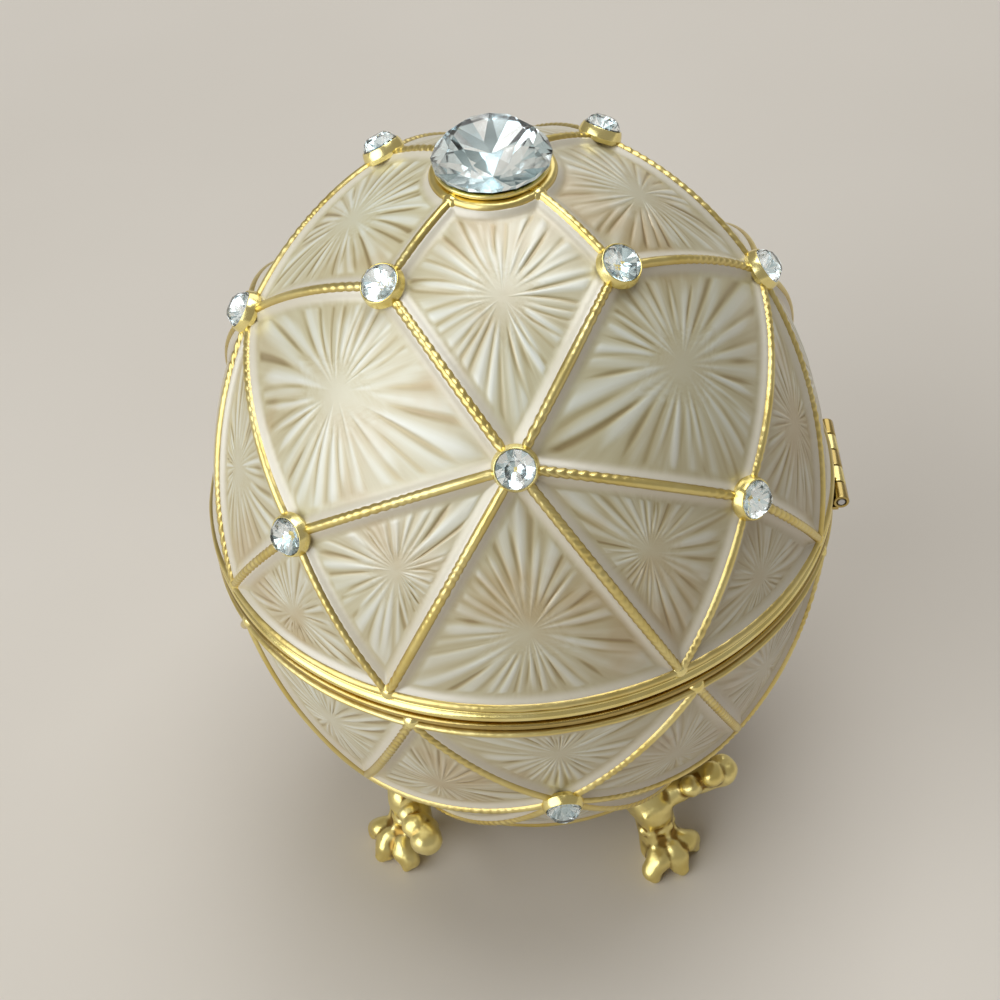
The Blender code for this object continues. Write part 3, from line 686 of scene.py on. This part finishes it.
class Sunburst:
    """Engraved rays round the middle of a panel: raised strokes and cuts of uneven length in turn."""

    def __init__(self, seed):
        chance = np.random.default_rng(seed)
        pitch = math.tau / STROKES
        count = np.arange(STROKES)
        kind = count % 2
        self.angles = (count + chance.uniform(-STROKE_SCATTER, STROKE_SCATTER, STROKES)) * pitch
        self.bends = chance.uniform(-STROKE_BEND, STROKE_BEND, STROKES) * pitch
        self.widths = np.take(WIDTHS, kind) * chance.uniform(*WIDTH_SHARES, STROKES) * pitch
        self.starts = np.take(STARTS, kind) + chance.uniform(0.0, START_SPREAD, STROKES)
        self.ends = chance.uniform(*END_SHARES, STROKES)
        self.heights = np.take(HEIGHTS, kind) * chance.uniform(*HEIGHT_SHARES, STROKES)

    def height(self, angles, share):
        """Height of the strokes, -1 to 1, along a ring at a share of the rays' length."""
        middles = self.angles + self.bends * (share - 0.5)
        apart = np.abs((angles[:, None] - middles[None, :] + math.pi) % math.tau - math.pi)
        entering = smooth_step(self.starts + FADE_IN[0], self.starts + FADE_IN[1], share)
        leaving = 1.0 - smooth_step(self.ends - FADE_OUT, self.ends, share)
        stroke = 1.0 - smooth_step(0.0, self.widths * np.maximum(leaving, LEAST_WIDTH), apart)
        relief = (stroke * self.heights * entering * leaving).sum(axis=1)
        core = smooth_step(0.0, GLOW_SHARE, share)
        return np.clip(GLOW * (1.0 - core) + relief * core, -1.0, 1.0)


def panel_values(angles, ray, border, reach, number):
    """Values on one row of a panel, in the order of PANEL_VALUES."""
    count = len(angles)
    drawn = smooth_step(0.0, CORE_SHARE, reach)
    east = np.cos(angles) * drawn
    north = np.sin(angles) * drawn
    plain = [np.broadcast_to(value, count) for value in (ray, border, drawn, number * PANEL_SHIFT + reach)]
    return np.column_stack(plain + [east, north])


def add_panel(work, net, keys, number):
    """One enamel panel: border that climbs the ribs, engraved field, and its underside."""
    fan = Fan(net, keys, ENAMEL_STEP)
    burst = Sunburst(number)
    angles = fan.angles()
    rows = []
    values = []
    for depth, lift in ENAMEL_SECTION:
        share = fan.share_at(depth)
        rows.append(fan.row(share, lift))
        border = 1.0 - smooth_step(BORDER_OUTER, BORDER_INNER, depth)
        values.append(panel_values(angles, PLAIN_RAY, border, 1.0, number))
    for k in range(1, PANEL_ROWS):
        inward = 1.0 - k / PANEL_ROWS
        height = burst.height(angles, inward)
        rows.append(fan.row(share * inward, STROKE_RELIEF * height))
        values.append(panel_values(angles, PLAIN_RAY * (1.0 + height), 0.0, inward, number))
    work.add_rows(rows, values, net.half.surface(fan.centre))
    count = len(angles)
    under = [fan.row(np.full(count, 1.0 - k / UNDER_ROWS), -ENAMEL_DEPTH) for k in range(UNDER_ROWS)]
    plain = panel_values(angles, PLAIN_RAY, 1.0, 1.0, number)
    work.add_rows(under, [plain] * UNDER_ROWS, net.half.surface(fan.centre, -ENAMEL_DEPTH))


def add_skirt(work, net, ring, u_edge):
    """Edge of the enamel outside a hoop, from its top round to its underside."""
    border = net.walk(net.keys(ring), ENAMEL_STEP)[0]
    turns = np.arctan2(border[:, 0], -border[:, 1])
    edge = direction_at(u_edge, np.degrees(turns))
    half = net.half
    rows = [half.surface(border), half.surface(edge), half.surface(edge, -ENAMEL_DEPTH),
            half.surface(border, -ENAMEL_DEPTH)]
    work.add_rows(rows, [panel_values(turns, PLAIN_RAY, 1.0, 1.0, 0)] * len(rows))


def enamel_mesh(name, net, edge, hole):
    """All panels of one half as one closed skin."""
    work = Patchwork(*PANEL_VALUES)
    for number, keys in enumerate(net.cells):
        add_panel(work, net, keys, number)
    add_skirt(work, net, "rim", net.half.angle_at_rise(edge))
    if hole:
        add_skirt(work, net, "neck", net.half.angle_at_radius(hole))
    return work.mesh(name)


def add_ribs(work, net, keys, breadth=1.0, centre=None):
    """The near side of every rib round a cell, notched along its crest like a rope."""
    fan = Fan(net, keys, RIB_STEP, centre)
    spots = net.half.surface(fan.border)
    shift = NOTCH_SHIFT * np.sin(spots @ np.array(SHIFT_WAVE))
    wave = 0.5 + 0.5 * np.cos(math.tau * fan.along / NOTCH_PITCH + shift)
    fade = 0.5 + 0.5 * np.sin(spots @ np.array(FADE_WAVE))
    notch = NOTCH_DEPTH * wave * fade
    widths = breadth * (1.0 - NOTCH_WIDTH * wave * fade)
    rows = []
    values = []
    for depth, lift in RIB_SECTION:
        weight = (lift - RIB_SEAT) / RIB_SECTION[0][1]
        rows.append(fan.row(fan.share_at(depth * widths), lift - notch * weight))
        # Painted shade: the gold darkens in the notches and down the rib's sides, fully at its foot
        values.append(np.maximum(wave * fade * NOTCH_PAINTED_SHADE, 1.0 - weight)[:, None])
    rows.append(net.half.surface(fan.border, RIB_SEAT))
    values.append(values[-1])
    work.add_rows(rows, values)


def trellis_mesh(name, net):
    """All ribs of one half, with the outer side of its rim hoop and the inner side of its neck."""
    # Each point keeps how much painted shade darkens its gold
    work = Patchwork("painted_shade")
    for keys in net.cells:
        add_ribs(work, net, keys)
    if "neck" in net.hoops:
        add_ribs(work, net, net.keys("neck"), NECK_FILL)
    outward = RIM_RIB_WIDTH / RIB_SECTION[-1][0]
    add_ribs(work, net, net.keys("rim"), outward, (0.0, 0.0, -1.0))
    return work.mesh(name)


def settings_mesh(name, net):
    """Stone cups on the crossings, and drops of gold where ribs run into a hoop."""
    work = Patchwork()
    cup = rounded(CUP_OUTLINE, CUP_ROUND)
    turns = np.linspace(math.pi / 2, -math.pi / 2, DROP_POINTS)
    drop = [(DROP_RADIUS * math.cos(turn), DROP_HEIGHT * math.sin(turn)) for turn in turns]
    for key in net.nodes:
        if key[0] in net.cup_rings:
            work.add_turned(cup, SMALL_SEGMENTS, net.place(key))
        elif key[0] in net.hoops:
            work.add_turned(drop, DROP_SEGMENTS, net.place(key))
    return work.mesh(name)


def lining_mesh(name, half, edge, hole):
    """The metal lining under the enamel, from its edge to the pole or to a round hole."""
    sides = []
    for lift in (-(ENAMEL_DEPTH + SKIN_GAP), -WALL):
        end = half.angle_at_radius(hole, lift) if hole else math.pi / 2
        angles = np.linspace(half.angle_at_rise(edge, lift), end, LINING_ROWS)
        sides.append([half.spot(u, lift) for u in angles])
    return turned_mesh(name, sides[0] + sides[1][::-1], BOWL_SEGMENTS)


def brilliant_mesh(name, cut, place, seed):
    """A cut stone with its girdle's underside at height 0: clear faces above, foil-backed ones below.

    Each facet keeps a tone of its own for the foil, lighter or darker at random, as a painted glint.
    """
    radius, table, crown, girdle, pavilion = cut
    bm = bmesh.new()
    step = math.tau / MAINS

    def ring(size, height, shift, count=MAINS):
        angles = [math.tau / count * (i + shift) for i in range(count)]
        return [bm.verts.new((size * math.cos(a), size * math.sin(a), height)) for a in angles]

    star = table + (radius - table) * STAR_SHARE
    star_height = girdle + crown * (radius - star * math.cos(step / 2)) / (radius - table)
    keel = radius * KEEL_SHARE
    keel_height = pavilion * (keel * math.cos(step / 2) / radius - 1.0)
    top = ring(table, girdle + crown, 0.0)
    stars = ring(star, star_height, 0.5)
    upper = ring(radius, girdle, 0.0, 2 * MAINS)
    lower = ring(radius, 0.0, 0.0, 2 * MAINS)
    keels = ring(keel, keel_height, 0.5)
    culet = bm.verts.new((0.0, 0.0, -pavilion))
    clear = [top]
    foiled = []
    for i in range(MAINS):
        k = (i + 1) % MAINS
        edge = (2 * i, 2 * i + 1, 2 * k)
        clear += [(top[i], stars[i], top[k]), (top[k], stars[i], upper[2 * k], stars[k])]
        foiled.append((culet, keels[i], lower[2 * k], keels[k]))
        for a, b in zip(edge, edge[1:]):
            clear += [(stars[i], upper[a], upper[b]), (upper[a], lower[a], lower[b], upper[b])]
            foiled.append((keels[i], lower[b], lower[a]))
    for material_index, faces in enumerate((clear, foiled)):
        for corners in faces:
            bm.faces.new(corners).material_index = material_index
    bmesh.ops.recalc_face_normals(bm, faces=bm.faces)
    bmesh.ops.transform(bm, matrix=Matrix.Scale(MM, 4) @ place, verts=bm.verts)
    mesh = mesh_from(name, bm)
    # A tone for each facet, for the foil's painted glints
    tones = np.random.default_rng(seed).uniform(0.0, 1.0, len(mesh.polygons))
    keep_values(mesh, "facet", tones, 'FACE')
    return mesh


def add_stones(body, net):
    """A stone in each cup of a trellis, each turned by chance in its cup."""
    chance = np.random.default_rng(len(net.nodes))
    for i, key in enumerate(net.keys(*net.cup_rings)):
        turn = Matrix.Rotation(chance.uniform(0.0, math.tau), 4, 'Z')
        place = net.place(key) @ Matrix.Translation((0.0, 0.0, STONE_LIFT)) @ turn
        mesh = brilliant_mesh("gem", SMALL_CUT, place, i)
        number = f"{i + 1:02d}"
        add_piece(f"{body}_gem_{number}", mesh, body, [f"{body}_stone_{number}"], "stone", STONE_SHARP)


def collet_mesh(name):
    """Turned cup of the crown stone: stem, foot on the lid, wall that ends under the stone's girdle."""
    radius = CROWN_CUT[0]
    pavilion = CROWN_CUT[-1]
    floor = RIM_HEIGHT + LID_RISE + CROWN_LIFT - pavilion - SEAT_GAP
    outer = radius - COLLET_SETBACK
    inner = outer - COLLET_WALL
    lip = floor + pavilion * inner / radius
    foot = [LID.spot(LID.angle_at_radius(reach, SEAT_GAP), SEAT_GAP) for reach in (STEM_RADIUS, COLLET_FOOT)]
    outline = [(0.0, floor - COLLET_WALL), (STEM_RADIUS, floor - COLLET_WALL), *foot]
    outline += [(outer, foot[1][1] + COLLET_FLARE), (outer, lip), (inner, lip), (0.0, floor)]
    return turned_mesh(name, rounded(outline, COLLET_ROUND), BOWL_SEGMENTS)


def bead(reach, rise, radius, angles):
    """A round bead of a band's outline, angles in degrees from the outward direction."""
    turns = np.radians(np.linspace(*angles, BEAD_POINTS))
    return [(reach + radius * math.cos(turn), rise + radius * math.sin(turn)) for turn in turns]


def band_mesh(name, half, height, roll, inside):
    """A turned rim band with a roll at the seam, a groove and a bead at the shell."""
    seam = SEAM_GAP / 2
    near = roll / 2
    far = (height - roll) / 2
    profile = bead(EGG_RADIUS + SEAM_RELIEF - near, seam + near, near, ROLL_ANGLES)
    profile += bead(EGG_RADIUS + SHELL_RELIEF - far, seam + height - far, far, BEAD_ANGLES)
    outline = [(reach, RIM_HEIGHT + half.sign * rise) for reach, rise in profile + inside]
    return turned_mesh(name, rounded(outline, EDGE_ROUND), BAND_SEGMENTS)


def along_hinge(y):
    """Placement that lays a turned piece along the hinge axis, centred at y."""
    return Matrix.Translation((HINGE.x, y, HINGE.z)) @ Matrix.Rotation(math.pi / 2, 4, 'X')


def rod_outline(radius, length, bore=0.0):
    """Outline of a rod or tube centred on its own middle, with eased edges."""
    half_length = length / 2
    corners = [(bore, -half_length), (radius, -half_length), (radius, half_length), (bore, half_length)]
    return rounded(corners, EDGE_ROUND)


def magnet_place(half, rise):
    """Placement of a magnet, centred at a rise from its band's seam face."""
    return Matrix.Translation((-MAGNET_REACH, 0.0, RIM_HEIGHT + half.sign * (SEAM_GAP / 2 + rise)))


def rim_mesh(name, half, height, roll, inside, first_knuckle):
    """A rim band with its hinge notch, magnet pocket, knuckles and the webs that hold them."""
    band = band_mesh(name, half, height, roll, inside)
    notch_radius = KNUCKLE_RADIUS + HINGE_CLEARANCE
    notch = rod_outline(notch_radius, HINGE_LENGTH + 2 * HINGE_CLEARANCE)
    notch = turned_mesh("notch", notch, SMALL_SEGMENTS, along_hinge(0.0))
    pocket = rod_outline(MAGNET_RADIUS + MAGNET_CLEARANCE, 2 * (MAGNET_THICKNESS + MAGNET_CLEARANCE))
    pocket = turned_mesh("pocket", pocket, SMALL_SEGMENTS, magnet_place(half, 0.0))
    band = combined(band, 'DIFFERENCE', notch, pocket)
    length = (HINGE_LENGTH - (KNUCKLES - 1) * KNUCKLE_GAP) / KNUCKLES
    barrel = rod_outline(KNUCKLE_RADIUS, length, BORE_RADIUS)
    barrels = Patchwork()
    webs = []
    low = BORE_RADIUS + WEB_CLEARANCE
    high = SEAM_GAP / 2 + height - SEAT_GAP
    inner = HINGE.x - notch_radius - WEB_BITE
    outer = HINGE.x - BORE_RADIUS / 2
    for i in range(first_knuckle, KNUCKLES, 2):
        y = (i - (KNUCKLES - 1) / 2) * (length + KNUCKLE_GAP)
        barrels.add_turned(barrel, SMALL_SEGMENTS, along_hinge(y))
        middle = ((inner + outer) / 2, y, RIM_HEIGHT + half.sign * (low + high) / 2)
        webs.append((middle, (outer - inner, length, high - low)))
    return combined(band, 'UNION', barrels.mesh("barrels"), box_mesh("webs", webs))


def add_limb(bm, stations):
    """Balls along a smooth path through stations of x, y, z and radius."""
    knots = np.array(stations)
    knots = np.vstack([2 * knots[0] - knots[1], knots, 2 * knots[-1] - knots[-2]])
    for i in range(len(knots) - 3):
        a, b, c, d = knots[i:i + 4]
        for t in np.linspace(0.0, 1.0, LIMB_POINTS):
            spot = 0.5 * (2 * b + (c - a) * t + (2 * a - 5 * b + 4 * c - d) * t ** 2
                          + (3 * b - a - 3 * c + d) * t ** 3)
            add_ball(bm, spot)


def add_ball(bm, spot):
    """A ball at x, y, z with a radius."""
    place = Matrix.Translation(Vector(spot[:3]) * MM)
    bmesh.ops.create_icosphere(bm, subdivisions=3, radius=spot[3] * MM, matrix=place)


def on_leg(station, turn, radius):
    """Station of a vein or pearl on the leg's skin, at an angle in degrees from its front."""
    x, y, z, reach = station
    out = reach - VEIN_SINK
    return x + out * math.cos(math.radians(turn)), y + out * math.sin(math.radians(turn)), z, radius


def roughen(mesh):
    """Give a casting its uneven skin."""
    for vertex in mesh.vertices:
        vertex.co += vertex.normal * CAST_RELIEF * MM * solid_noise.noise(vertex.co / MM * CAST_PITCH)


def add_hollows(mesh):
    """Keep on each point of a casting how far it lies in a hollow, as a painted shade that darkens the gold
    there.
    """
    bm = bmesh.new()
    bm.from_mesh(mesh)
    bm.normal_update()
    bm.verts.ensure_lookup_table()
    near = [[edge.other_vert(vert).index for edge in vert.link_edges] for vert in bm.verts]
    hollow = np.array([np.mean([vert.normal.dot((bm.verts[k].co - vert.co).normalized()) for k in ring])
                       for vert, ring in zip(bm.verts, near)])
    bm.free()
    for _ in range(HOLLOW_SPREAD):
        hollow = np.array([(value + hollow[ring].mean()) / 2 for value, ring in zip(hollow, near)])
    keep_values(mesh, "painted_shade", np.clip(hollow * HOLLOW_GAIN, 0.0, 1.0))


def foot_mesh():
    """The first foot: leg, toes and side scroll run together as a casting, cut by the egg and the table."""
    bm = bmesh.new()
    pad = BASE.spot(BASE.angle_at_radius(PAD_REACH), -PAD_RADIUS)
    add_limb(bm, ((pad[0], 0.0, pad[1], PAD_RADIUS), *LEG))
    for turn in (-TOE_FAN, 0.0, TOE_FAN):
        ahead = math.cos(math.radians(turn))
        side = TOE_SPREAD * math.sin(math.radians(turn))
        toe = [(reach + stretch * ahead, side * share, height, radius)
               for reach, stretch, height, radius, share in (*TOE_STATIONS, CLAW)]
        add_limb(bm, toe[:-1])
        add_ball(bm, toe[-1])
    for turn in VEIN_TURNS:
        add_limb(bm, [on_leg(station, turn, VEIN_RADIUS) for station in LEG])
    for turn in PEARL_TURNS:
        add_ball(bm, on_leg(LEG[1], turn, PEARL_RADIUS))
    add_limb(bm, ARM)
    for lobe in (*SCROLL_LOBES, BALL):
        add_ball(bm, lobe)
    item = linked(mesh_from("foot", bm))
    remesh = item.modifiers.new("remesh", 'REMESH')
    remesh.mode = 'VOXEL'
    remesh.voxel_size = VOXEL * MM
    smooth = item.modifiers.new("smooth", 'SMOOTH')
    smooth.factor = 0.5
    smooth.iterations = SMOOTHING
    casting = evaluated(item)
    bpy.data.objects.remove(item)
    roughen(casting)
    casting.transform(Matrix.Rotation(math.radians(FOOT_TURN - QUARTER_TURN), 4, 'Z'))
    angles = np.linspace(0.0, math.pi / 2, EGG_POINTS)
    egg = [BASE.spot(u, SKIN_GAP) for u in angles] + [(0.0, RIM_HEIGHT)]
    width = 4 * EGG_RADIUS
    table = box_mesh("table", [((0.0, 0.0, -EGG_RADIUS), (width, width, 2 * EGG_RADIUS))])
    casting = combined(casting, 'DIFFERENCE', turned_mesh("egg", egg, EGG_SEGMENTS), table)
    # Painted shade in the casting's hollows
    add_hollows(casting)
    return casting


class Recipe:
    """The nodes of a material or of the world, with short ways to add to them."""

    def __init__(self, owner):
        owner.use_nodes = True
        self.owner = owner
        self.nodes = owner.node_tree.nodes
        self.links = owner.node_tree.links

    def fill(self, node, inputs):
        """Link or set inputs of a node, by their names or numbers."""
        for key, value in inputs.items():
            socket = node.inputs[key]
            if isinstance(value, bpy.types.NodeSocket):
                self.links.new(value, socket)
            elif isinstance(value, tuple):
                socket.default_value = (*value, 1.0)
            else:
                socket.default_value = value

    def add(self, kind, inputs, **settings):
        """A new node with its settings and inputs."""
        node = self.nodes.new("ShaderNode" + kind)
        for name, value in settings.items():
            setattr(node, name, value)
        self.fill(node, inputs)
        return node

    def own_space(self):
        """Places in the object's own space, in metres."""
        return self.add("TexCoord", {}).outputs["Object"]

    def value_of(self, name):
        """A value kept on the mesh."""
        return self.add("Attribute", {}, attribute_name=name).outputs["Fac"]

    def noise(self, scale, detail, place=None):
        """A noise over a place, or over the object's own space with its scale in features per metre."""
        inputs = {"Vector": place or self.own_space(), "Scale": scale, "Detail": detail}
        return self.add("TexNoise", inputs).outputs["Fac"]

    def ramp(self, source, stops):
        """A colour ramp over a source, from stops of a place and a colour."""
        node = self.add("ValToRGB", {"Fac": source})
        elements = node.color_ramp.elements
        while len(elements) < len(stops):
            elements.new(1.0)
        for element, (place, colour) in zip(elements, stops):
            element.position = place
            element.color = (*colour, 1.0)
        return node.outputs["Color"]

    def spread(self, source, low, high):
        """A source from 0 to 1 mapped to low and high."""
        return self.add("MapRange", {"Value": source, "To Min": low, "To Max": high}).outputs["Result"]

    def mixed(self, share, first, second, blend='MIX'):
        """Two colours mixed by a share. Inputs 6 and 7 of the node are its colours, and output 2."""
        inputs = {"Factor": share, 6: first, 7: second}
        return self.add("Mix", inputs, data_type='RGBA', blend_type=blend).outputs[2]

    def maths(self, operation, first, second):
        """A sum, product or other working of two numbers."""
        return self.add("Math", {0: first, 1: second}, operation=operation).outputs[0]

    def bump(self, source, strength, depth):
        """Normals of a fine relief from a source, with its depth in millimetres."""
        inputs = {"Height": source, "Strength": strength, "Distance": depth * MM}
        return self.add("Bump", inputs).outputs["Normal"]

    def surface(self, inputs):
        """Fill the shader of a material, with what is the same all over on its own sockets."""
        self.fill(self.nodes["Principled BSDF"], inputs)
        return self.owner

    def show_mix(self, output, share, first, second):
        """Show two shaders mixed by a share."""
        mix = self.add("MixShader", {0: share, 1: first.outputs[0], 2: second.outputs[0]})
        self.fill(self.nodes[output], {"Surface": mix.outputs[0]})


def material_recipe(name):
    """The recipe of a new material."""
    return Recipe(bpy.data.materials.new(name))


def streaks(work):
    """Noise drawn out along the rays of a panel."""
    around, along = STREAK_SCALES
    axes = (("X", "east", around), ("Y", "north", around), ("Z", "reach", along))
    inputs = {axis: work.maths('MULTIPLY', work.value_of(name), scale) for axis, name, scale in axes}
    place = work.add("CombineXYZ", inputs).outputs["Vector"]
    return work.noise(1.0, detail=3.0, place=place)


def enamel():
    """Pearl enamel over an engraved ground: champagne strokes, pale border, clear glossy coat."""
    work = material_recipe("pearl_enamel")
    fine = work.maths('SUBTRACT', streaks(work), 0.5)
    fine = work.maths('MULTIPLY', fine, work.value_of("drawn"))
    cloud = work.noise(HAZE_SCALE, detail=4.0)
    ray = work.spread(work.value_of("ray"), *RAY_TONES)
    drawn = work.maths('ADD', ray, work.maths('MULTIPLY', fine, STREAK_SHARE))
    haze = work.ramp(cloud, ENAMEL_HAZE)
    field = work.mixed(HAZE_SHARE, work.ramp(drawn, ENAMEL_GROUND), haze, 'MULTIPLY')
    return work.surface({
        "Base Color": work.mixed(work.value_of("border"), field, ENAMEL_BORDER),
        "Roughness": work.spread(cloud, *ENAMEL_POLISH),
        "Metallic": work.ramp(drawn, ENAMEL_METAL),
        "Specular IOR Level": 1.0,
        "Coat Weight": 1.0,
        "Coat Roughness": 0.34,
        "Coat IOR": 1.7,
        "Normal": work.bump(fine, *STREAK_RELIEF),
    })


def gold(name, low_roughness, high_roughness, grain_scale, grain_strength):
    """Gold plate with slight changes of tone and polish, darker where painted shade is kept on the mesh."""
    work = material_recipe(name)
    tone = work.noise(GOLD_TONE_SCALE, detail=4.0)
    grain = work.noise(grain_scale, detail=2.0)
    return work.surface({
        # Painted shade: the gold turns brown as far as the mesh's painted shade value goes
        "Base Color": work.mixed(work.value_of("painted_shade"), work.ramp(tone, GOLD_TONES), GOLD_PAINTED_SHADE),
        "Roughness": work.spread(tone, low_roughness, high_roughness),
        "Metallic": 1.0,
        "Normal": work.bump(grain, grain_strength, GRAIN_DEPTH),
    })


def plain_material(name, scale, detail, tones, polish, constants):
    """A material whose tone and polish follow one noise."""
    work = material_recipe(name)
    tone = work.noise(scale, detail)
    changing = {"Base Color": work.ramp(tone, tones), "Roughness": work.spread(tone, *polish)}
    return work.surface({**changing, **constants})


def stone():
    """Clear cut glass with a breath of aqua."""
    return plain_material("clear_stone", *STONE_FINISH, {"Transmission Weight": 1.0, "IOR": 1.55})


def steel():
    """Bright steel with a fine change of tone."""
    return plain_material("steel", *STEEL_FINISH, {"Metallic": 1.0})


def foil():
    """Silver foil on the back of a stone, with painted glints: a lighter or darker tone for each facet."""
    work = material_recipe("stone_foil")
    polish_and_glint = work.noise(FOIL_SCALE, detail=0.0)
    # Painted glints: the facet's own tone and the noise set how light or dark the foil is
    facet = work.spread(work.value_of("facet"), 0.0, FACET_GLINT_SHARE)
    tone = work.maths('ADD', facet, work.spread(polish_and_glint, 0.0, 1.0 - FACET_GLINT_SHARE))
    return work.surface({
        "Base Color": work.ramp(tone, FOIL_GLINT_TONES),
        "Roughness": work.spread(polish_and_glint, *FOIL_POLISH),
        "Metallic": 1.0,
    })


def floor_material():
    """Plain pale floor for the eye, metal and glass, which runs into the backdrop away from the object. To
    the light it throws back onto the egg it is darker and browner, a painted shade.
    """
    work = material_recipe("pale_floor")
    pale = work.ramp(work.noise(FLOOR_SCALE, detail=3.0), FLOOR_TONES)
    path = work.add("LightPath", {}).outputs
    mirrored = work.maths('MAXIMUM', path["Is Glossy Ray"], path["Is Transmission Ray"])
    seen = work.maths('MAXIMUM', path["Is Camera Ray"], mirrored)
    away = work.add("VectorMath", {0: work.own_space()}, operation='LENGTH').outputs["Value"]
    far = work.ramp(away, ((FLOOR_NEAR * MM, (0.0, 0.0, 0.0)), (FLOOR_FAR * MM, (1.0, 1.0, 1.0))))
    backdrop = work.add("Emission", {"Color": WORLD_COLOUR, "Strength": WORLD_BACKDROP})
    shader = work.nodes["Principled BSDF"]
    work.show_mix("Material Output", work.maths('MULTIPLY', far, seen), shader, backdrop)
    # The darker bounce colour is a painted shade on the egg's lower side
    return work.surface({"Base Color": work.mixed(seen, FLOOR_SHADE_BOUNCE, pale), "Roughness": 0.6})


def studio_world():
    """Even pale light, with a paler backdrop for the eye, for glass and in part for polished metal."""
    work = Recipe(bpy.data.worlds.new("studio"))
    light = work.nodes["Background"]
    work.fill(light, {"Color": WORLD_COLOUR, "Strength": WORLD_LIGHT})
    backdrop = work.add("Background", {"Color": WORLD_COLOUR, "Strength": WORLD_BACKDROP})
    path = work.add("LightPath", {}).outputs
    seen = work.maths('MAXIMUM', path["Is Camera Ray"], path["Is Transmission Ray"])
    mirrored = work.maths('MULTIPLY', path["Is Glossy Ray"], METAL_BACKDROP)
    work.show_mix("World Output", work.maths('MAXIMUM', seen, mirrored), light, backdrop)
    return work.owner


def add_lamp(name, place, size, power, colour):
    """A square soft light aimed at the egg."""
    light = bpy.data.lights.new(name, 'AREA')
    light.size = size * MM
    light.energy = power
    light.color = colour
    item = linked(light)
    item.location = Vector(place) * MM
    towards = Vector((0.0, 0.0, RIM_HEIGHT * MM)) - item.location
    item.rotation_euler = towards.to_track_quat('-Z', 'Y').to_euler()


def add_camera():
    """The camera of the photograph."""
    camera = linked(bpy.data.cameras.new("camera"))
    camera.location = Vector(CAMERA_PLACE) * MM
    camera.rotation_euler = [math.radians(turn) for turn in CAMERA_TURN]
    camera.data.lens = CAMERA_LENS
    camera.data.clip_start = CAMERA_NEAR * MM
    bpy.context.scene.camera = camera


def studio():
    """Floor, lights, world and camera."""
    bm = bmesh.new()
    bmesh.ops.create_grid(bm, x_segments=8, y_segments=8, size=FLOOR_REACH * MM)
    floor = mesh_from("floor", bm)
    floor.materials.append(floor_material())
    linked(floor)
    for name, facts in LAMPS.items():
        add_lamp(name, *facts)
    add_camera()
    bpy.context.scene.world = studio_world()
    bpy.context.scene.view_settings.view_transform = 'Standard'


def add_half(body, net, edge, hole):
    """Enamel, lining, ribs, settings and stones of one half."""
    shell = [f"{body}_shell"]
    trellis = [f"{body}_trellis"]
    add_piece(f"{body}_enamel", enamel_mesh("enamel", net, edge, hole), body, shell, "enamel", ENAMEL_SHARP)
    add_piece(f"{body}_lining", lining_mesh("lining", net.half, edge, hole), body, shell, "satin")
    add_piece(f"{body}_ribs", trellis_mesh("ribs", net), body, trellis, "cast", RIB_SHARP)
    add_piece(f"{body}_settings", settings_mesh("settings", net), body, trellis)
    add_stones(body, net)


def add_rims():
    """Rim bands with their knuckles, and the hinge pin."""
    seam = SEAM_GAP / 2
    lid_inside = [(BAND_INNER, seam + LID_BAND), (BAND_INNER, seam)]
    lid_rim = rim_mesh("rim", LID, LID_BAND, LID_ROLL, lid_inside, 1)
    add_piece("lid_band", lid_rim, "lid", ["lid_rim"])
    base_inside = [(LIP_INNER, seam + BASE_BAND), (LIP_INNER, -LIP_RISE), (LIP_OUTER, -LIP_RISE),
                   (LIP_OUTER, seam)]
    base_rim = rim_mesh("rim", BASE, BASE_BAND, BASE_ROLL, base_inside, 0)
    # Painted shade over the whole base band, which lies in the lid band's shadow
    keep_values(base_rim, "painted_shade", BASE_PAINTED_SHADE)
    add_piece("base_band", base_rim, "base", ["base_rim"])
    pin = turned_mesh("pin", rod_outline(PIN_RADIUS, HINGE_LENGTH), PIN_SEGMENTS, along_hinge(0.0))
    add_piece("pin", pin, "base", ["hinge_pin"], "steel")


def add_magnets():
    """The closing magnets in the two rims."""
    outline = rod_outline(MAGNET_RADIUS, MAGNET_THICKNESS)
    for body, half in (("lid", LID), ("base", BASE)):
        disc = turned_mesh("disc", outline, SMALL_SEGMENTS, magnet_place(half, MAGNET_THICKNESS / 2))
        add_piece(f"{body}_disc", disc, body, [f"{body}_magnet"], "steel")


def add_crown():
    """The collet on top of the lid and its stone."""
    add_piece("collet", collet_mesh("collet"), "lid", ["crown_collet"])
    place = Matrix.Translation((0.0, 0.0, RIM_HEIGHT + LID_RISE + CROWN_LIFT))
    crown = brilliant_mesh("crown", CROWN_CUT, place, CROWN_SEED)
    add_piece("crown_gem", crown, "lid", ["crown_stone"], "stone", STONE_SHARP)


def add_feet():
    """Turned copies of the first foot."""
    foot = foot_mesh()
    for i in range(FOOT_COUNT):
        copy = foot.copy()
        copy.transform(Matrix.Rotation(math.tau * i / FOOT_COUNT, 4, 'Z'))
        add_piece(f"cast_foot_{i + 1}", copy, "base", [f"foot_{i + 1}"], "cast")


# Looks: the record's slot, and the materials in the order of a mesh's slots
LOOKS = {
    "enamel": ("pearl_enamel", [enamel()]),
    "gold": ("gold_plate", [gold("gold_plate", *POLISHED_GOLD)]),
    "cast": ("gold_plate", [gold("cast_gold", *CAST_GOLD)]),
    "satin": ("gold_plate", [gold("satin_gold", *SATIN_GOLD)]),
    "stone": ("clear_stone", [stone(), foil()]),
    "steel": ("steel", [steel()]),
}
add_half("lid", lid_net(), LID_EDGE, HOLE_RADIUS)
add_half("base", base_net(), BASE_EDGE, 0.0)
add_rims()
add_magnets()
add_crown()
add_feet()
studio()
